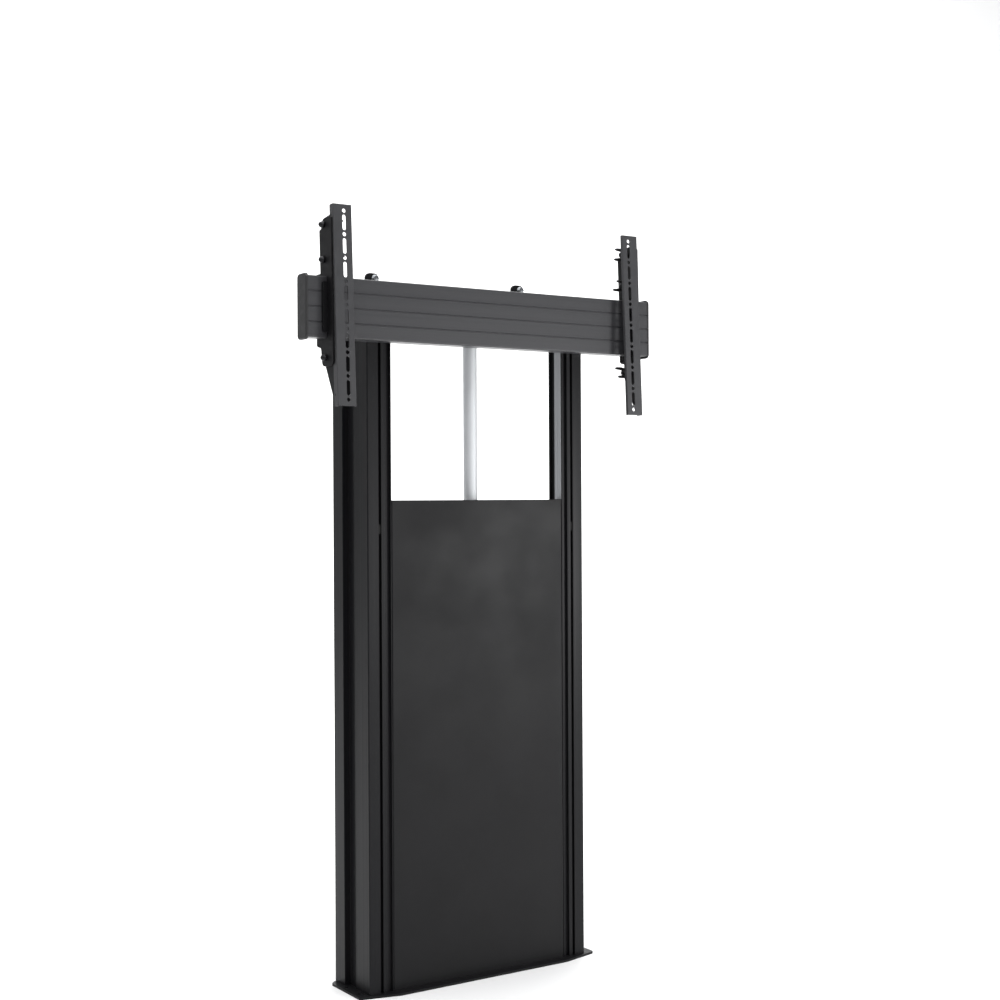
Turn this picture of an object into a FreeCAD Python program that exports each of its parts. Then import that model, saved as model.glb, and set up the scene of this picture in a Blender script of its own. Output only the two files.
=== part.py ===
import FreeCAD, Part
import math
import os

# Height-adjustable display stand, in millimetres.
# X runs to the right seen from the front, Y from the front to the wall, Z up.
# While the pieces are built, Y is 0 on the front faces of the columns. They are
# saved with the origin on the floor, at the middle of the stand's own box.

V = FreeCAD.Vector
X_AXIS = V(1, 0, 0)
Y_AXIS = V(0, 1, 0)
Z_AXIS = V(0, 0, 1)

# Clearances
slide_gap = 0.3            # between a sliding piece and its guide
turn_gap = 0.05            # radial, between a turning piece and its pin
seat_gap = 0.1             # between pieces that only rest beside each other
screw_gap = 0.05           # radial, between a screw and its hole

# Base plate on the floor
base_half_width = 316.0
base_reach = 24.0          # front edge, ahead of the columns
base_rear_inset = 3.0      # rear edge, short of the back of the columns
base_thickness = 5.0
base_straight_half = 224.0
base_corner_back = 23.0    # outer front corners lie this far behind the front edge
base_corner_radius = 6.0
base_rear_chamfer = 12.0
anchor_hole = 9.0
anchor_inset = 13.0        # from the side edge of the plate
anchor_front = 26.0        # from the front faces of the columns
anchor_rear = 84.0

# Columns, extruded
column_outer = 290.0       # outer face of each column, from the middle
column_width = 60.0
column_depth = 143.0
column_top = 1550.0
column_wall = 3.0
column_radius = 2.5
front_box_depth = 51.0     # the full-width front part of the section
rear_web = 5.0             # the thin wall behind it, on the outer side
rear_flare = 9.5           # how far that wall stands out behind the side groove
side_groove_front = 63.0
side_groove_rear = 97.5
side_groove_depth = 6.0
track_offset = 27.5        # outer face to the guide track
track_mouth = 7.0
track_lip = 3.0
track_inner = 17.0
track_depth = 10.0
seal_groove_offset = 44.0  # outer face to the groove beside the cover
seal_groove_lip = 2.5      # between that groove and the column's inner face
seal_groove_depth = 7.0
inner_recess_front = 28.0
inner_recess_rear = 47.0
inner_recess_depth = 6.0
foot_port = 8.0            # screw ports that run up the columns
port_inset = 2.0           # the outer port, ahead of its chamber's end
foot_screw_grip = 24.0
foot_screw_head = 15.2
foot_screw_sunk = 0.3
cap_thickness = 2.5
cap_plug = 8.0

# Front cover between the columns
cover_top = 1083.0
cover_sheet = 1.5
cover_flange = 24.0
cover_gap = 0.5
cover_bend = 2.0
cover_screw_size = 4.0
cover_screw_length = 12.0
cover_screw_spread = 0.8    # outermost screws, as a share of the half width

# Cross members
member_sheet = 3.0
member_tab = 20.0
member_arm = 26.0          # from the channel's end in to the arm's root
member_tab_share = 0.75    # of the channel's height
member_bolt_share = 0.25   # of the height, in from the top and bottom
member_bolt_bite = 0.8     # thread, as a share of the rear web's thickness
front_member_depth = 15.0
front_member_height = 40.0
front_member_drop = 0.3    # below the cover's top flange
low_member_height = 60.0
rear_member_depth = 34.0
rear_member_height = 70.0
rear_member_drop = 5.0     # below the top of the columns
rear_low_member_top = 240.0
member_bolt = 8.0

# Wall brackets behind the top cross member
bracket_spacing = 400.0
bracket_width = 33.0
bracket_foot_width = 98.0  # of the lower part, which is screwed to the wall
bracket_thickness = 4.0
bracket_rise = 56.0        # above the cross member
bracket_height = 102.0
bracket_shoulder = 24.0    # from the top down to the wide part
bracket_radius = 11.0
clamp_offset = 7.0         # clamp bolt, to the right of the bracket's middle
clamp_drop = 12.0          # below the bracket's top
clamp_bolt = 8.0
clamp_washer = 18.0
washer_thickness = 1.6
wall_screw_hole = 8.0
wall_screw_drop = 38.0
wall_screw_inset = 15.0    # from the wide part's side edge

# Crossbar
bar_half_length = 454.0
bar_cap_length = 6.0
bar_bottom = 1427.0
bar_height = 130.0
bar_depth = 41.0
bar_wall = 3.0
bar_radius = 3.0
bar_groove_count = 3
bar_groove_width = 3.6
bar_groove_depth = 1.4
bar_cap_proud = 5.0
bar_cap_side_proud = 1.0
bar_cap_radius = 10.0
bar_cap_round = 4.0
bar_cap_plug = 16.0

# Carriage that runs on the columns
lift_travel = 400.0
carriage_gap = 1.0         # ahead of the column faces
carriage_thickness = 4.0
carriage_margin = 4.0      # inside the bar's top and bottom edges
carriage_side_inset = 4.0  # inside the columns' outer faces
shoe_length = 50.0
shoe_screw = 4.0
bar_screw = 8.0
bar_screw_head = 14.0
bar_screw_near = 90.0      # columns of screws, from the middle
bar_screw_far = 190.0
bar_screw_share = 0.27     # of the bar's height, in from its edges
stop_length = 20.0

# Lifting strut
strut_back = 38.0          # strut axis, behind the column faces
outer_tube = 40.0
inner_tube = 32.0
tube_wall = 2.0
outer_tube_foot = 34.0
outer_tube_top = 1058.0
inner_tube_length = 545.0
head_plug = 22.0
head_bottom = 1496.0
head_plate = 5.0
head_half_width = 34.0
head_gusset = 4.0
head_margin = 6.0          # shelf behind the inner tube
head_gusset_inset = 16.0   # gussets, short of the shelf's back edge
head_corner = 14.0
head_bolt = 12.0
bush_length = 30.0
bush_flange = 3.0
cylinder_outer = 22.0
cylinder_wall = 1.5
cylinder_length = 485.0
rod_size = 10.0
piston_length = 12.0
foot_cheek = 5.0
foot_height = 34.0
foot_half_depth = 20.0
foot_flange = 16.0
foot_floor = 4.0
foot_spigot = 14.0
foot_pin = 10.0
foot_pin_height = 22.0
clamp_ring = 5.0
clamp_ring_height = 18.0

# Display brackets
bracket_inset = 74.0       # hole line of each rail, from the bar's end
rail_front = 82.0          # front faces of the upright rails, ahead of the columns
rail_drop = 147.5          # below the bar's underside
rail_length = 427.0
rail_sheet = 2.5
rail_inner_half = 18.3     # hole line to the inner edge
rail_outer_half = 26.0     # hole line to the outer edge
rail_return = 16.0         # on the outer side, where the tilt plate is riveted
rail_inner_return = 7.0
rail_bend = 1.5
display_hole = 9.0
display_pitch = 50.0
display_hole_count = 9
display_slot = 33.0
tilt_back = 3.0            # degrees
tilt_forward = 3.0
rest_tilt = 2.6            # degrees back, where the rails stand at rest
tilt_plate = 3.0
notch_play = 7.0           # ahead of the crossbar when the top is tilted back
notch_above = 6.0          # clear of the bar and its end caps
notch_below = 7.0
ear_inset = 7.0            # the ears' back edge, ahead of the bar's back
ear_front = 4.0            # crown of the upper ear, behind its stud
ear_crown = 16.0           # plate above the upper stud
ear_corner = 8.0
lobe_drop = 14.0           # plate below the pivot
plate_corner = 3.0
hook_plate = 4.0
pivot_drop = 42.0          # below the bar's underside
pivot_front = 40.0         # stud axes, ahead of the column faces
upper_stud_rise = 110.0    # above the bar's top
upper_stud_front = 34.0
middle_stud_rise = 36.0
middle_stud_front = 34.0
stud_size = 8.0
stud_collar = 14.0         # shoulder between the hook plate and the tilt plate
cap_nut = 13.0             # across its flats
cap_nut_height = 6.5
cap_nut_dome = 5.5
hook_lip = 6.0
hook_lip_drop = 18.0
hook_crown = 13.0          # plate above the upper stud
hook_tip = 45.0            # back end of the plate's top edge, ahead of the column faces
hook_slope = 22.0          # fall of the sloped edge behind that tip
hook_back = 18.0           # back edge above the bar, ahead of the column faces
hook_nib = 8.0             # height of the nib that lies on the bar
hook_flange = 12.0         # outward flange on the bar's front
hook_flange_inset = 12.0   # its ends, inside the bar's top and bottom edges
hook_end_radius = 16.0
hook_foot = 18.0           # plate below the pivot
hook_waist = 20.0          # below the bar, where the back edge turns in to the pivot
hook_front_play = 1.5      # behind the rail's face when it is tilted back
hook_low_inset = 8.0       # the same at the foot
hook_corner = 12.0
hook_hold = 6.0            # how far the lips reach over the bar's back
pivot_bush_wall = 2.0
rivet_size = 5.0
rivet_head = 9.0
rivet_share = 0.62         # of the rail's return, back from its face
rivet_end = 24.0           # from the ends of the rail
rivet_above = 66.0         # the middle pair, from the rail's middle
rivet_below = 26.0

# Wing knobs
knob_hub = 14.0
knob_collar = 17.0
knob_hub_length = 19.0
knob_reach = 15.0
knob_length = 36.0
knob_wing = 4.5
upper_knob_turn = 10.0     # degrees from upright
middle_knob_turn = 36.0
lower_knob_turn = -28.0

# Places that follow from the sizes above
column_inner = column_outer - column_width
column_rear_outer = column_outer + rear_flare
rear_member_top = column_top - rear_member_drop
bracket_top = rear_member_top + bracket_rise
bracket_bottom = bracket_top - bracket_height
clamp_height = bracket_top - clamp_drop
wall_screw_height = bracket_top - wall_screw_drop
bar_top = bar_bottom + bar_height
carriage_back = -carriage_gap
carriage_front = carriage_back - carriage_thickness
bar_back = carriage_front
bar_front = bar_back - bar_depth
rail_face = -rail_front
rail_bottom = bar_bottom - rail_drop
rail_top = rail_bottom + rail_length
rail_middle = rail_bottom + rail_length / 2
bracket_at = bar_half_length - bracket_inset
pivot_height = bar_bottom - pivot_drop
middle_stud_height = bar_top + middle_stud_rise
upper_stud_height = bar_top + upper_stud_rise
hook_top = upper_stud_height + hook_crown
track_middle = column_outer - track_offset - track_mouth / 2
cover_half = column_inner - cover_gap
head_top = head_bottom + head_plate


def box(x0, x1, y0, y1, z0, z1):
    return Part.makeBox(x1 - x0, y1 - y0, z1 - z0, V(x0, y0, z0))


def rod_x(x0, x1, y, z, radius):
    return Part.makeCylinder(radius, x1 - x0, V(x0, y, z), X_AXIS)


def rod_y(x, y0, y1, z, radius):
    return Part.makeCylinder(radius, y1 - y0, V(x, y0, z), Y_AXIS)


def rod_z(x, y, z0, z1, radius):
    return Part.makeCylinder(radius, z1 - z0, V(x, y, z0), Z_AXIS)


def hexagon(centre, direction, across_flats, height):
    # A hexagonal head or nut that stands on centre along direction.
    corner = across_flats / math.sqrt(3)
    side = V(0, 0, 1) if abs(direction.z) < 0.5 else V(1, 0, 0)
    other = direction.cross(side)
    ring = []
    for step in range(7):
        turn = math.radians(60 * step)
        ring.append(centre + side * (corner * math.cos(turn)) + other * (corner * math.sin(turn)))
    return Part.Face(Part.makePolygon(ring)).extrude(direction * height)


def rounded_face(corners, place):
    # Corners are (u, v, radius); place turns u and v into a point in space.
    count = len(corners)
    edges = []
    starts = []
    ends = []
    middles = []
    for index in range(count):
        u, v, radius = corners[index]
        before = corners[index - 1]
        after = corners[(index + 1) % count]
        back = (before[0] - u, before[1] - v)
        ahead = (after[0] - u, after[1] - v)
        back_length = math.hypot(*back)
        ahead_length = math.hypot(*ahead)
        back = (back[0] / back_length, back[1] / back_length)
        ahead = (ahead[0] / ahead_length, ahead[1] / ahead_length)
        half = math.acos(max(-1.0, min(1.0, back[0] * ahead[0] + back[1] * ahead[1]))) / 2
        if radius <= 0 or half > math.pi / 2 - 0.01:
            starts.append((u, v))
            ends.append((u, v))
            middles.append(None)
            continue
        cut = min(radius / math.tan(half), 0.49 * back_length, 0.49 * ahead_length)
        radius = cut * math.tan(half)
        starts.append((u + back[0] * cut, v + back[1] * cut))
        ends.append((u + ahead[0] * cut, v + ahead[1] * cut))
        bisector = (back[0] + ahead[0], back[1] + ahead[1])
        length = math.hypot(*bisector)
        reach = radius / math.sin(half) - radius
        middles.append((u + bisector[0] / length * reach, v + bisector[1] / length * reach))
    for index in range(count):
        if middles[index]:
            points = [place(*starts[index]), place(*middles[index]), place(*ends[index])]
            edges.append(Part.Arc(*points).toShape())
        following = (index + 1) % count
        first = place(*ends[index])
        second = place(*starts[following])
        if first.distanceToPoint(second) > 1e-6:
            edges.append(Part.LineSegment(first, second).toShape())
    return Part.Face(Part.Wire(edges))


def plan(corners, z0, z1):
    # A flat outline seen from above, from height z0 to z1.
    return rounded_face(corners, lambda u, v: V(u, v, z0)).extrude(V(0, 0, z1 - z0))


def side(corners, x0, x1):
    # An outline in Y and Z, from x0 to x1.
    return rounded_face(corners, lambda u, v: V(x0, u, v)).extrude(V(x1 - x0, 0, 0))


def front(corners, y0, y1):
    # An outline in X and Z, from y0 to y1.
    return rounded_face(corners, lambda u, v: V(u, y0, v)).extrude(V(0, y1 - y0, 0))


def rectangle(u0, u1, v0, v1, radius=0.0):
    return [(u0, v0, radius), (u1, v0, radius), (u1, v1, radius), (u0, v1, radius)]


def mirrored(shape):
    return shape.mirror(V(0, 0, 0), X_AXIS)


def joined(pieces):
    return pieces[0].multiFuse(pieces[1:]).removeSplitter()


def both_sides(shape):
    return [shape, mirrored(shape)]


# Base plate


def anchor_places():
    x = base_half_width - anchor_inset
    return [(sx * x, y) for sx in (-1, 1) for y in (anchor_front, anchor_rear)]


def foot_places():
    # Screw ports of the right column: two in bosses inside the front box and
    # one in a boss behind it, on the back of the side groove.
    boss = foot_port / 2 + column_wall - 1
    inner = column_inner + inner_recess_depth + column_wall + boss
    outer = column_outer - column_wall - boss
    behind_track = track_depth + column_wall + boss
    rear = column_outer - side_groove_depth - rear_web - foot_port / 2
    return [(inner, behind_track), (outer, front_box_depth - column_wall - boss - port_inset),
            (rear, (side_groove_front + side_groove_rear) / 2)]


def base_plate():
    rear = column_depth - base_rear_inset
    corner_y = base_corner_back - base_reach
    chamfer = base_rear_chamfer
    outline = [(-base_straight_half, -base_reach, base_corner_radius * 4),
               (base_straight_half, -base_reach, base_corner_radius * 4),
               (base_half_width, corner_y, base_corner_radius),
               (base_half_width, rear - chamfer, base_corner_radius),
               (base_half_width - chamfer, rear, base_corner_radius),
               (-base_half_width + chamfer, rear, base_corner_radius),
               (-base_half_width, rear - chamfer, base_corner_radius),
               (-base_half_width, corner_y, base_corner_radius)]
    plate = plan(outline, 0, base_thickness)
    for x, y in anchor_places():
        plate = plate.cut(rod_z(x, y, 0, base_thickness, anchor_hole / 2))
    for x, y in foot_places():
        for place_x in (x, -x):
            plate = plate.cut(foot_screw(place_x, y, screw_gap))
    return plate


def foot_screw(x, y, extra=0.0):
    # Countersunk, driven up from below into a column's screw port.
    head_height = base_thickness - 1.0
    head_radius = foot_screw_head / 2 + extra
    shank_radius = foot_port / 2 - screw_gap + extra
    cone = Part.makeCone(head_radius, shank_radius, head_height, V(x, y, 0), Z_AXIS)
    shank = rod_z(x, y, head_height - 0.5, base_thickness + foot_screw_grip, shank_radius)
    screw = joined([cone, shank])
    if extra:
        return screw
    return screw.cut(rod_z(x, y, 0, foot_screw_sunk, head_radius + 1))


def column_foot_screws():
    screws = []
    for x, y in foot_places():
        screws.append(foot_screw(x, y))
        screws.append(foot_screw(-x, y))
    return Part.Compound(screws)


# Columns


def column_section(z0, z1):
    # Right column, from its outer front corner round to the inner side.
    outer = column_outer
    inner = column_inner
    rear_outer = column_rear_outer
    web = rear_outer - rear_web
    groove = outer - side_groove_depth
    groove_back = groove - rear_web
    recess = inner + inner_recess_depth
    seal = outer - seal_groove_offset
    lip = inner + seal_groove_lip
    outline = [(outer, 0, column_radius),
               (outer, side_groove_front, 1), (groove, side_groove_front, 1),
               (groove, side_groove_rear, 1), (rear_outer, side_groove_rear, 1),
               (rear_outer, column_depth, rear_web / 3), (web, column_depth, rear_web / 3),
               (web, side_groove_rear + rear_web, 1), (groove_back, side_groove_rear + rear_web, 1),
               (groove_back, front_box_depth, 2), (inner, front_box_depth, 1),
               (inner, inner_recess_rear, 1), (recess, inner_recess_rear, 0),
               (recess, inner_recess_front, 0), (inner, inner_recess_front, 1),
               (inner, 0, 1), (lip, 0, 0.5), (lip, seal_groove_depth, 0.5),
               (seal, seal_groove_depth, 0.5), (seal, 0, 1)]
    return plan(outline, z0, z1)


def track_cut(z0, z1, shrink=0.0):
    # The undercut guide track, or, shrunk, what runs in it.
    mouth = track_mouth / 2 - shrink
    deep = track_inner / 2 - shrink
    neck = plan(rectangle(track_middle - mouth, track_middle + mouth, -1, track_lip + shrink + 0.5), z0, z1)
    head = plan(rectangle(track_middle - deep, track_middle + deep, track_lip + shrink,
                          track_depth - shrink, 1), z0, z1)
    return joined([neck, head])


def column_chambers(z0, z1):
    # Hollows of the right column's front box, less the bosses round its screw ports.
    wall = column_wall
    outer = column_outer
    track_out = track_middle + track_inner / 2 + wall
    behind_track = track_depth + wall
    hollows = [rectangle(track_out, outer - wall, wall, behind_track, 1),
               rectangle(column_inner + inner_recess_depth + wall, outer - wall, behind_track,
                         front_box_depth - wall, 2)]
    bosses = Part.Compound([rod_z(x, y, z0, z1, foot_port / 2 + wall) for x, y in foot_places()[:2]])
    return [plan(outline, z0, z1).cut(bosses) for outline in hollows]


def member_bolt_places():
    # Heights and depths of the bolts that hold the cross members to the right column.
    front_y = cover_flange + seat_gap + member_sheet / 2 + member_tab / 2
    rear_y = column_depth - bracket_thickness - rear_member_depth / 2
    upper_front = cover_top - cover_sheet - front_member_drop - front_member_height / 2
    lower_front = base_thickness + low_member_height / 2
    return {"front": [(front_y, upper_front), (front_y, lower_front)],
            "rear": [(rear_y, rear_member_top - rear_member_height * member_bolt_share),
                     (rear_y, rear_member_top - rear_member_height * (1 - member_bolt_share)),
                     (rear_y, rear_low_member_top - rear_member_height * member_bolt_share),
                     (rear_y, rear_low_member_top - rear_member_height * (1 - member_bolt_share))]}


def column():
    z0 = base_thickness
    z1 = column_top
    rear_x, rear_y = foot_places()[2]
    boss = rod_z(rear_x, rear_y, z0, z1, foot_port / 2 + column_wall)
    boss = boss.common(box(0, column_outer - side_groove_depth - 1, 0, column_depth, z0, z1))
    body = joined([column_section(z0, z1), boss]).cut(track_cut(z0, z1))
    for hollow in column_chambers(z0, z1):
        body = body.cut(hollow)
    for x, y in foot_places():
        body = body.cut(rod_z(x, y, z0, z1, foot_port / 2))
    reach = column_wall + 0.5
    for y, z in member_bolt_places()["front"]:
        body = body.cut(rod_x(column_inner - 1, column_inner + inner_recess_depth + reach, y, z,
                              member_bolt / 2))
    web = column_rear_outer - rear_web
    for y, z in member_bolt_places()["rear"]:
        body = body.cut(rod_x(web - 1, web + rear_web * member_bolt_bite, y, z, member_bolt / 2))
    return body


def column_cap():
    # Moulded cap on the column's top, with a plug between the two bosses of the front box.
    cap = column_section(column_top, column_top + cap_thickness)
    cap = cap.cut(track_cut(column_top, column_top + cap_thickness))
    boss = foot_port / 2 + column_wall + seat_gap
    near, far = foot_places()[:2]
    hollow = rectangle(near[0] + boss, far[0] - boss, track_depth + column_wall + seat_gap,
                       front_box_depth - column_wall - seat_gap, 2)
    plug = plan(hollow, column_top - cap_plug, column_top + 0.5)
    return joined([cap, plug])


# Front cover and cross members


def front_cover():
    z0 = base_thickness
    outline = [(-cover_half, cover_flange, 0), (-cover_half, 0, cover_bend),
               (cover_half, 0, cover_bend), (cover_half, cover_flange, 0),
               (cover_half - cover_sheet, cover_flange, 0),
               (cover_half - cover_sheet, cover_sheet, cover_bend - cover_sheet / 2),
               (-cover_half + cover_sheet, cover_sheet, cover_bend - cover_sheet / 2),
               (-cover_half + cover_sheet, cover_flange, 0)]
    skin = plan(outline, z0, cover_top)
    lid = box(-cover_half, cover_half, 0, cover_flange, cover_top - cover_sheet, cover_top)
    lid = lid.common(plan([(-cover_half, cover_flange, 0), (-cover_half, 0, cover_bend),
                           (cover_half, 0, cover_bend), (cover_half, cover_flange, 0)],
                          z0, cover_top))
    notch = strut_notch(z0, cover_top)
    cover = joined([skin, lid]).cut(notch)
    for x in cover_screw_places():
        cover = cover.cut(cover_screw(x, screw_gap))
    return cover


def strut_notch(z0, z1):
    return rod_z(0, strut_back, z0, z1, outer_tube / 2 + clamp_ring)


def cover_screw_places():
    spread = cover_half * cover_screw_spread
    return [-spread, -spread / 3, spread / 3, spread]


def cover_screw(x, extra=0.0):
    # Small countersunk screw down through the cover's top flange.
    y = cover_sheet + front_member_depth * 0.55
    radius = cover_screw_size / 2 + extra
    head = Part.makeCone(radius, radius + 1.6, cover_sheet, V(x, y, cover_top - cover_sheet), Z_AXIS)
    shank = rod_z(x, y, cover_top - cover_screw_length, cover_top - cover_sheet + 0.2, radius)
    screw = joined([head, shank])
    if extra:
        return screw
    return screw.cut(rod_z(x, y, cover_top - seat_gap, cover_top + 1, radius + 3))


def cover_screws():
    return Part.Compound([cover_screw(x) for x in cover_screw_places()])


def front_member(bottom, height):
    # Channel behind the cover, open to the back, with a tab at each end.
    sheet = member_sheet
    y0 = cover_sheet
    y1 = y0 + front_member_depth
    inset = cover_half - cover_sheet - cover_bend
    outline = [(y0, bottom, 2), (y1, bottom, 0), (y1, bottom + sheet, 0), (y0 + sheet, bottom + sheet, 1),
               (y0 + sheet, bottom + height - sheet, 1), (y1, bottom + height - sheet, 0),
               (y1, bottom + height, 0), (y0, bottom + height, 2)]
    channel = side(outline, -inset, inset)
    pieces = [channel]
    half_tab = height * member_tab_share / 2
    middle = bottom + height / 2
    root = inset - member_arm
    arm_front = cover_flange + seat_gap
    low = middle - half_tab
    high = middle + half_tab
    arm = box(root, column_inner, arm_front, arm_front + sheet, low, high)
    link = box(root, root + sheet, y0 + sheet / 2, arm_front + sheet, low, high)
    tab = box(column_inner - sheet, column_inner, arm_front, arm_front + member_tab, low, high)
    for piece in (arm, link, tab):
        pieces += both_sides(piece)
    return joined(pieces)


def middle_cross_member():
    top = cover_top - cover_sheet - front_member_drop
    member = front_member(top - front_member_height, front_member_height)
    for x in cover_screw_places():
        member = member.cut(cover_screw(x, screw_gap))
    return drilled_for_bolts(member, "front")


def lower_cross_member():
    return drilled_for_bolts(front_member(base_thickness, low_member_height), "front")


def rear_member(top):
    # Channel between the rear webs, open to the front.
    sheet = member_sheet
    y1 = column_depth - bracket_thickness
    y0 = y1 - rear_member_depth
    bottom = top - rear_member_height
    end = column_rear_outer - rear_web
    outline = [(y1, bottom, 2), (y1, top, 2), (y0, top, 0), (y0, top - sheet, 0),
               (y1 - sheet, top - sheet, 1), (y1 - sheet, bottom + sheet, 1),
               (y0, bottom + sheet, 0), (y0, bottom, 0)]
    channel = side(outline, -end, end)
    tabs = [box(sign_low, sign_low + sheet, y0, y1 - 1, bottom + 1, top - 1)
            for sign_low in (-end, end - sheet)]
    return drilled_for_bolts(joined([channel] + tabs), "rear")


def drilled_for_bolts(member, row):
    end = column_inner if row == "front" else column_rear_outer - rear_web
    for y, z in member_bolt_places()[row]:
        hole = rod_x(-end - 1, -end + member_sheet + 1, y, z, member_bolt / 2)
        member = member.cut(hole).cut(mirrored(hole))
    return member


def bracket_middles():
    return [-bracket_spacing / 2, bracket_spacing / 2]


def top_cross_member():
    member = rear_member(rear_member_top)
    y1 = column_depth - bracket_thickness
    for middle in bracket_middles():
        half = bracket_width / 2
        ear = front([(middle - half, rear_member_top - 6, 0), (middle - half, bracket_top, bracket_radius),
                     (middle + half, bracket_top, bracket_radius), (middle + half, rear_member_top - 6, 0)],
                    y1 - member_sheet, y1)
        member = joined([member, ear])
        member = member.cut(rod_y(middle + clamp_offset, y1 - member_sheet - 1, y1 + 1, clamp_height,
                                  clamp_bolt / 2 + screw_gap))
    return member


def wall_brackets():
    # A plate on the wall behind each ear, wider below, where its two screws go in.
    plates = []
    y1 = column_depth
    y0 = y1 - bracket_thickness
    half = bracket_width / 2
    foot = bracket_foot_width / 2
    shoulder = bracket_top - bracket_shoulder
    for middle in bracket_middles():
        plate = front([(middle - foot, bracket_bottom, 3), (middle - foot, shoulder, bracket_radius),
                       (middle - half, shoulder, 2), (middle - half, bracket_top, bracket_radius),
                       (middle + half, bracket_top, bracket_radius), (middle + half, shoulder, 2),
                       (middle + foot, shoulder, bracket_radius), (middle + foot, bracket_bottom, 3)],
                      y0, y1)
        for sign in (-1, 1):
            plate = plate.cut(rod_y(middle + sign * (foot - wall_screw_inset), y0 - 1, y1 + 1,
                                    wall_screw_height, wall_screw_hole / 2))
        plate = plate.cut(rod_y(middle + clamp_offset, y0 - 1, y1 + 1, clamp_height,
                                clamp_bolt / 2 + screw_gap))
        plates.append(plate)
    return Part.Compound(plates)


def wall_clamp_bolts():
    bolts = []
    seat = column_depth - bracket_thickness - member_sheet
    for middle in bracket_middles():
        x = middle + clamp_offset
        shank = rod_y(x, seat - washer_thickness - 1, column_depth, clamp_height, clamp_bolt / 2)
        washer = rod_y(x, seat - washer_thickness, seat, clamp_height, clamp_washer / 2)
        head = hexagon(V(x, seat - washer_thickness, clamp_height), V(0, -1, 0), clamp_bolt * 1.6, 5.3)
        bolts.append(joined([shank, washer, head]))
    return Part.Compound(bolts)


def member_bolts():
    # Hex bolts through the tabs of all the cross members, heads inside.
    bolts = []
    rows = member_bolt_places()
    ends = {"front": column_inner, "rear": column_rear_outer - rear_web}
    depths = {"front": inner_recess_depth + column_wall, "rear": rear_web * member_bolt_bite}
    for row, places in rows.items():
        seat = ends[row] - member_sheet
        for y, z in places:
            shank = rod_x(seat - 1, ends[row] + depths[row], y, z, member_bolt / 2 - screw_gap)
            washer = rod_x(seat - washer_thickness, seat, y, z, member_bolt)
            head = hexagon(V(seat - washer_thickness, y, z), V(-1, 0, 0), member_bolt * 1.6, 5.3)
            bolts += both_sides(joined([shank, washer, head]))
    return Part.Compound(bolts)


# Lifting strut


def strut_foot_bracket():
    # U-shaped bracket on the base plate with a pin through its cheeks.
    half = outer_tube / 2 + slide_gap + foot_cheek
    depth = foot_half_depth
    z0 = base_thickness
    floor = box(-half - foot_flange, half + foot_flange, strut_back - depth, strut_back + depth,
                z0, z0 + foot_floor)
    pieces = [floor]
    for sign in (-1, 1):
        x0 = half - foot_cheek if sign > 0 else -half
        pieces.append(side([(strut_back - depth, z0, 0), (strut_back - depth, z0 + foot_height, 12),
                            (strut_back + depth, z0 + foot_height, 12), (strut_back + depth, z0, 0)],
                           x0, x0 + foot_cheek))
    bracket = joined(pieces)
    z = z0 + foot_pin_height
    return bracket.cut(rod_x(-half - 1, half + 1, strut_back, z, foot_pin / 2 + screw_gap))


def strut_foot_pin():
    half = outer_tube / 2 + slide_gap + foot_cheek
    z = base_thickness + foot_pin_height
    pin = rod_x(-half - 3, half + 3, strut_back, z, foot_pin / 2)
    head = rod_x(-half - 6, -half - 0.2, strut_back, z, foot_pin * 0.8)
    ring = rod_x(half + 0.2, half + 1.8, strut_back, z, foot_pin * 0.75)
    return joined([pin, head, ring])


def strut_foot_plug():
    # Solid foot of the strut, cross-drilled for the pin, that carries tube and cylinder.
    z = base_thickness + foot_pin_height
    z0 = base_thickness + foot_floor + 2.0
    z1 = outer_tube_foot + base_thickness
    body = rod_z(0, strut_back, z0, z1, outer_tube / 2)
    spigot = rod_z(0, strut_back, z1, z1 + foot_spigot, outer_tube / 2 - tube_wall - seat_gap)
    plug = joined([body, spigot])
    return plug.cut(rod_x(-outer_tube, outer_tube, strut_back, z, foot_pin / 2 + screw_gap))


def tube(radius, wall, z0, z1):
    return rod_z(0, strut_back, z0, z1, radius).cut(rod_z(0, strut_back, z0 - 1, z1 + 1, radius - wall))


def strut_outer_tube():
    return tube(outer_tube / 2, tube_wall, base_thickness + outer_tube_foot, outer_tube_top)


def strut_bush():
    # Flanged guide bush in the mouth of the outer tube.
    bore = inner_tube / 2 + turn_gap
    sleeve = rod_z(0, strut_back, outer_tube_top - bush_length, outer_tube_top + 0.2,
                   outer_tube / 2 - tube_wall - screw_gap)
    flange = rod_z(0, strut_back, outer_tube_top, outer_tube_top + bush_flange, outer_tube / 2)
    bush = joined([sleeve, flange])
    return bush.cut(rod_z(0, strut_back, outer_tube_top - bush_length - 1,
                          outer_tube_top + bush_flange + 1, bore))


def strut_clamp():
    # Saddle in the middle cross member that steadies the outer tube.
    top = cover_top - cover_sheet - front_member_drop
    middle = top - front_member_height / 2
    z0 = middle - clamp_ring_height / 2
    z1 = middle + clamp_ring_height / 2
    ring = rod_z(0, strut_back, z0, z1, outer_tube / 2 + clamp_ring - 0.5)
    foot = box(-outer_tube * 0.45, outer_tube * 0.45, cover_sheet + member_sheet, strut_back, z0, z1)
    saddle = joined([ring, foot])
    return saddle.cut(rod_z(0, strut_back, z0 - 1, z1 + 1, outer_tube / 2 + screw_gap))


def spring_cylinder_foot():
    return base_thickness + outer_tube_foot + foot_spigot


def gas_spring_cylinder():
    z0 = spring_cylinder_foot()
    z1 = z0 + cylinder_length
    shell = rod_z(0, strut_back, z0, z1, cylinder_outer / 2)
    bore = rod_z(0, strut_back, z0 + 5, z1 - 8, cylinder_outer / 2 - cylinder_wall)
    neck = rod_z(0, strut_back, z1 - 9, z1 + 1, rod_size / 2 + turn_gap)
    return shell.cut(bore).cut(neck)


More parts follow.
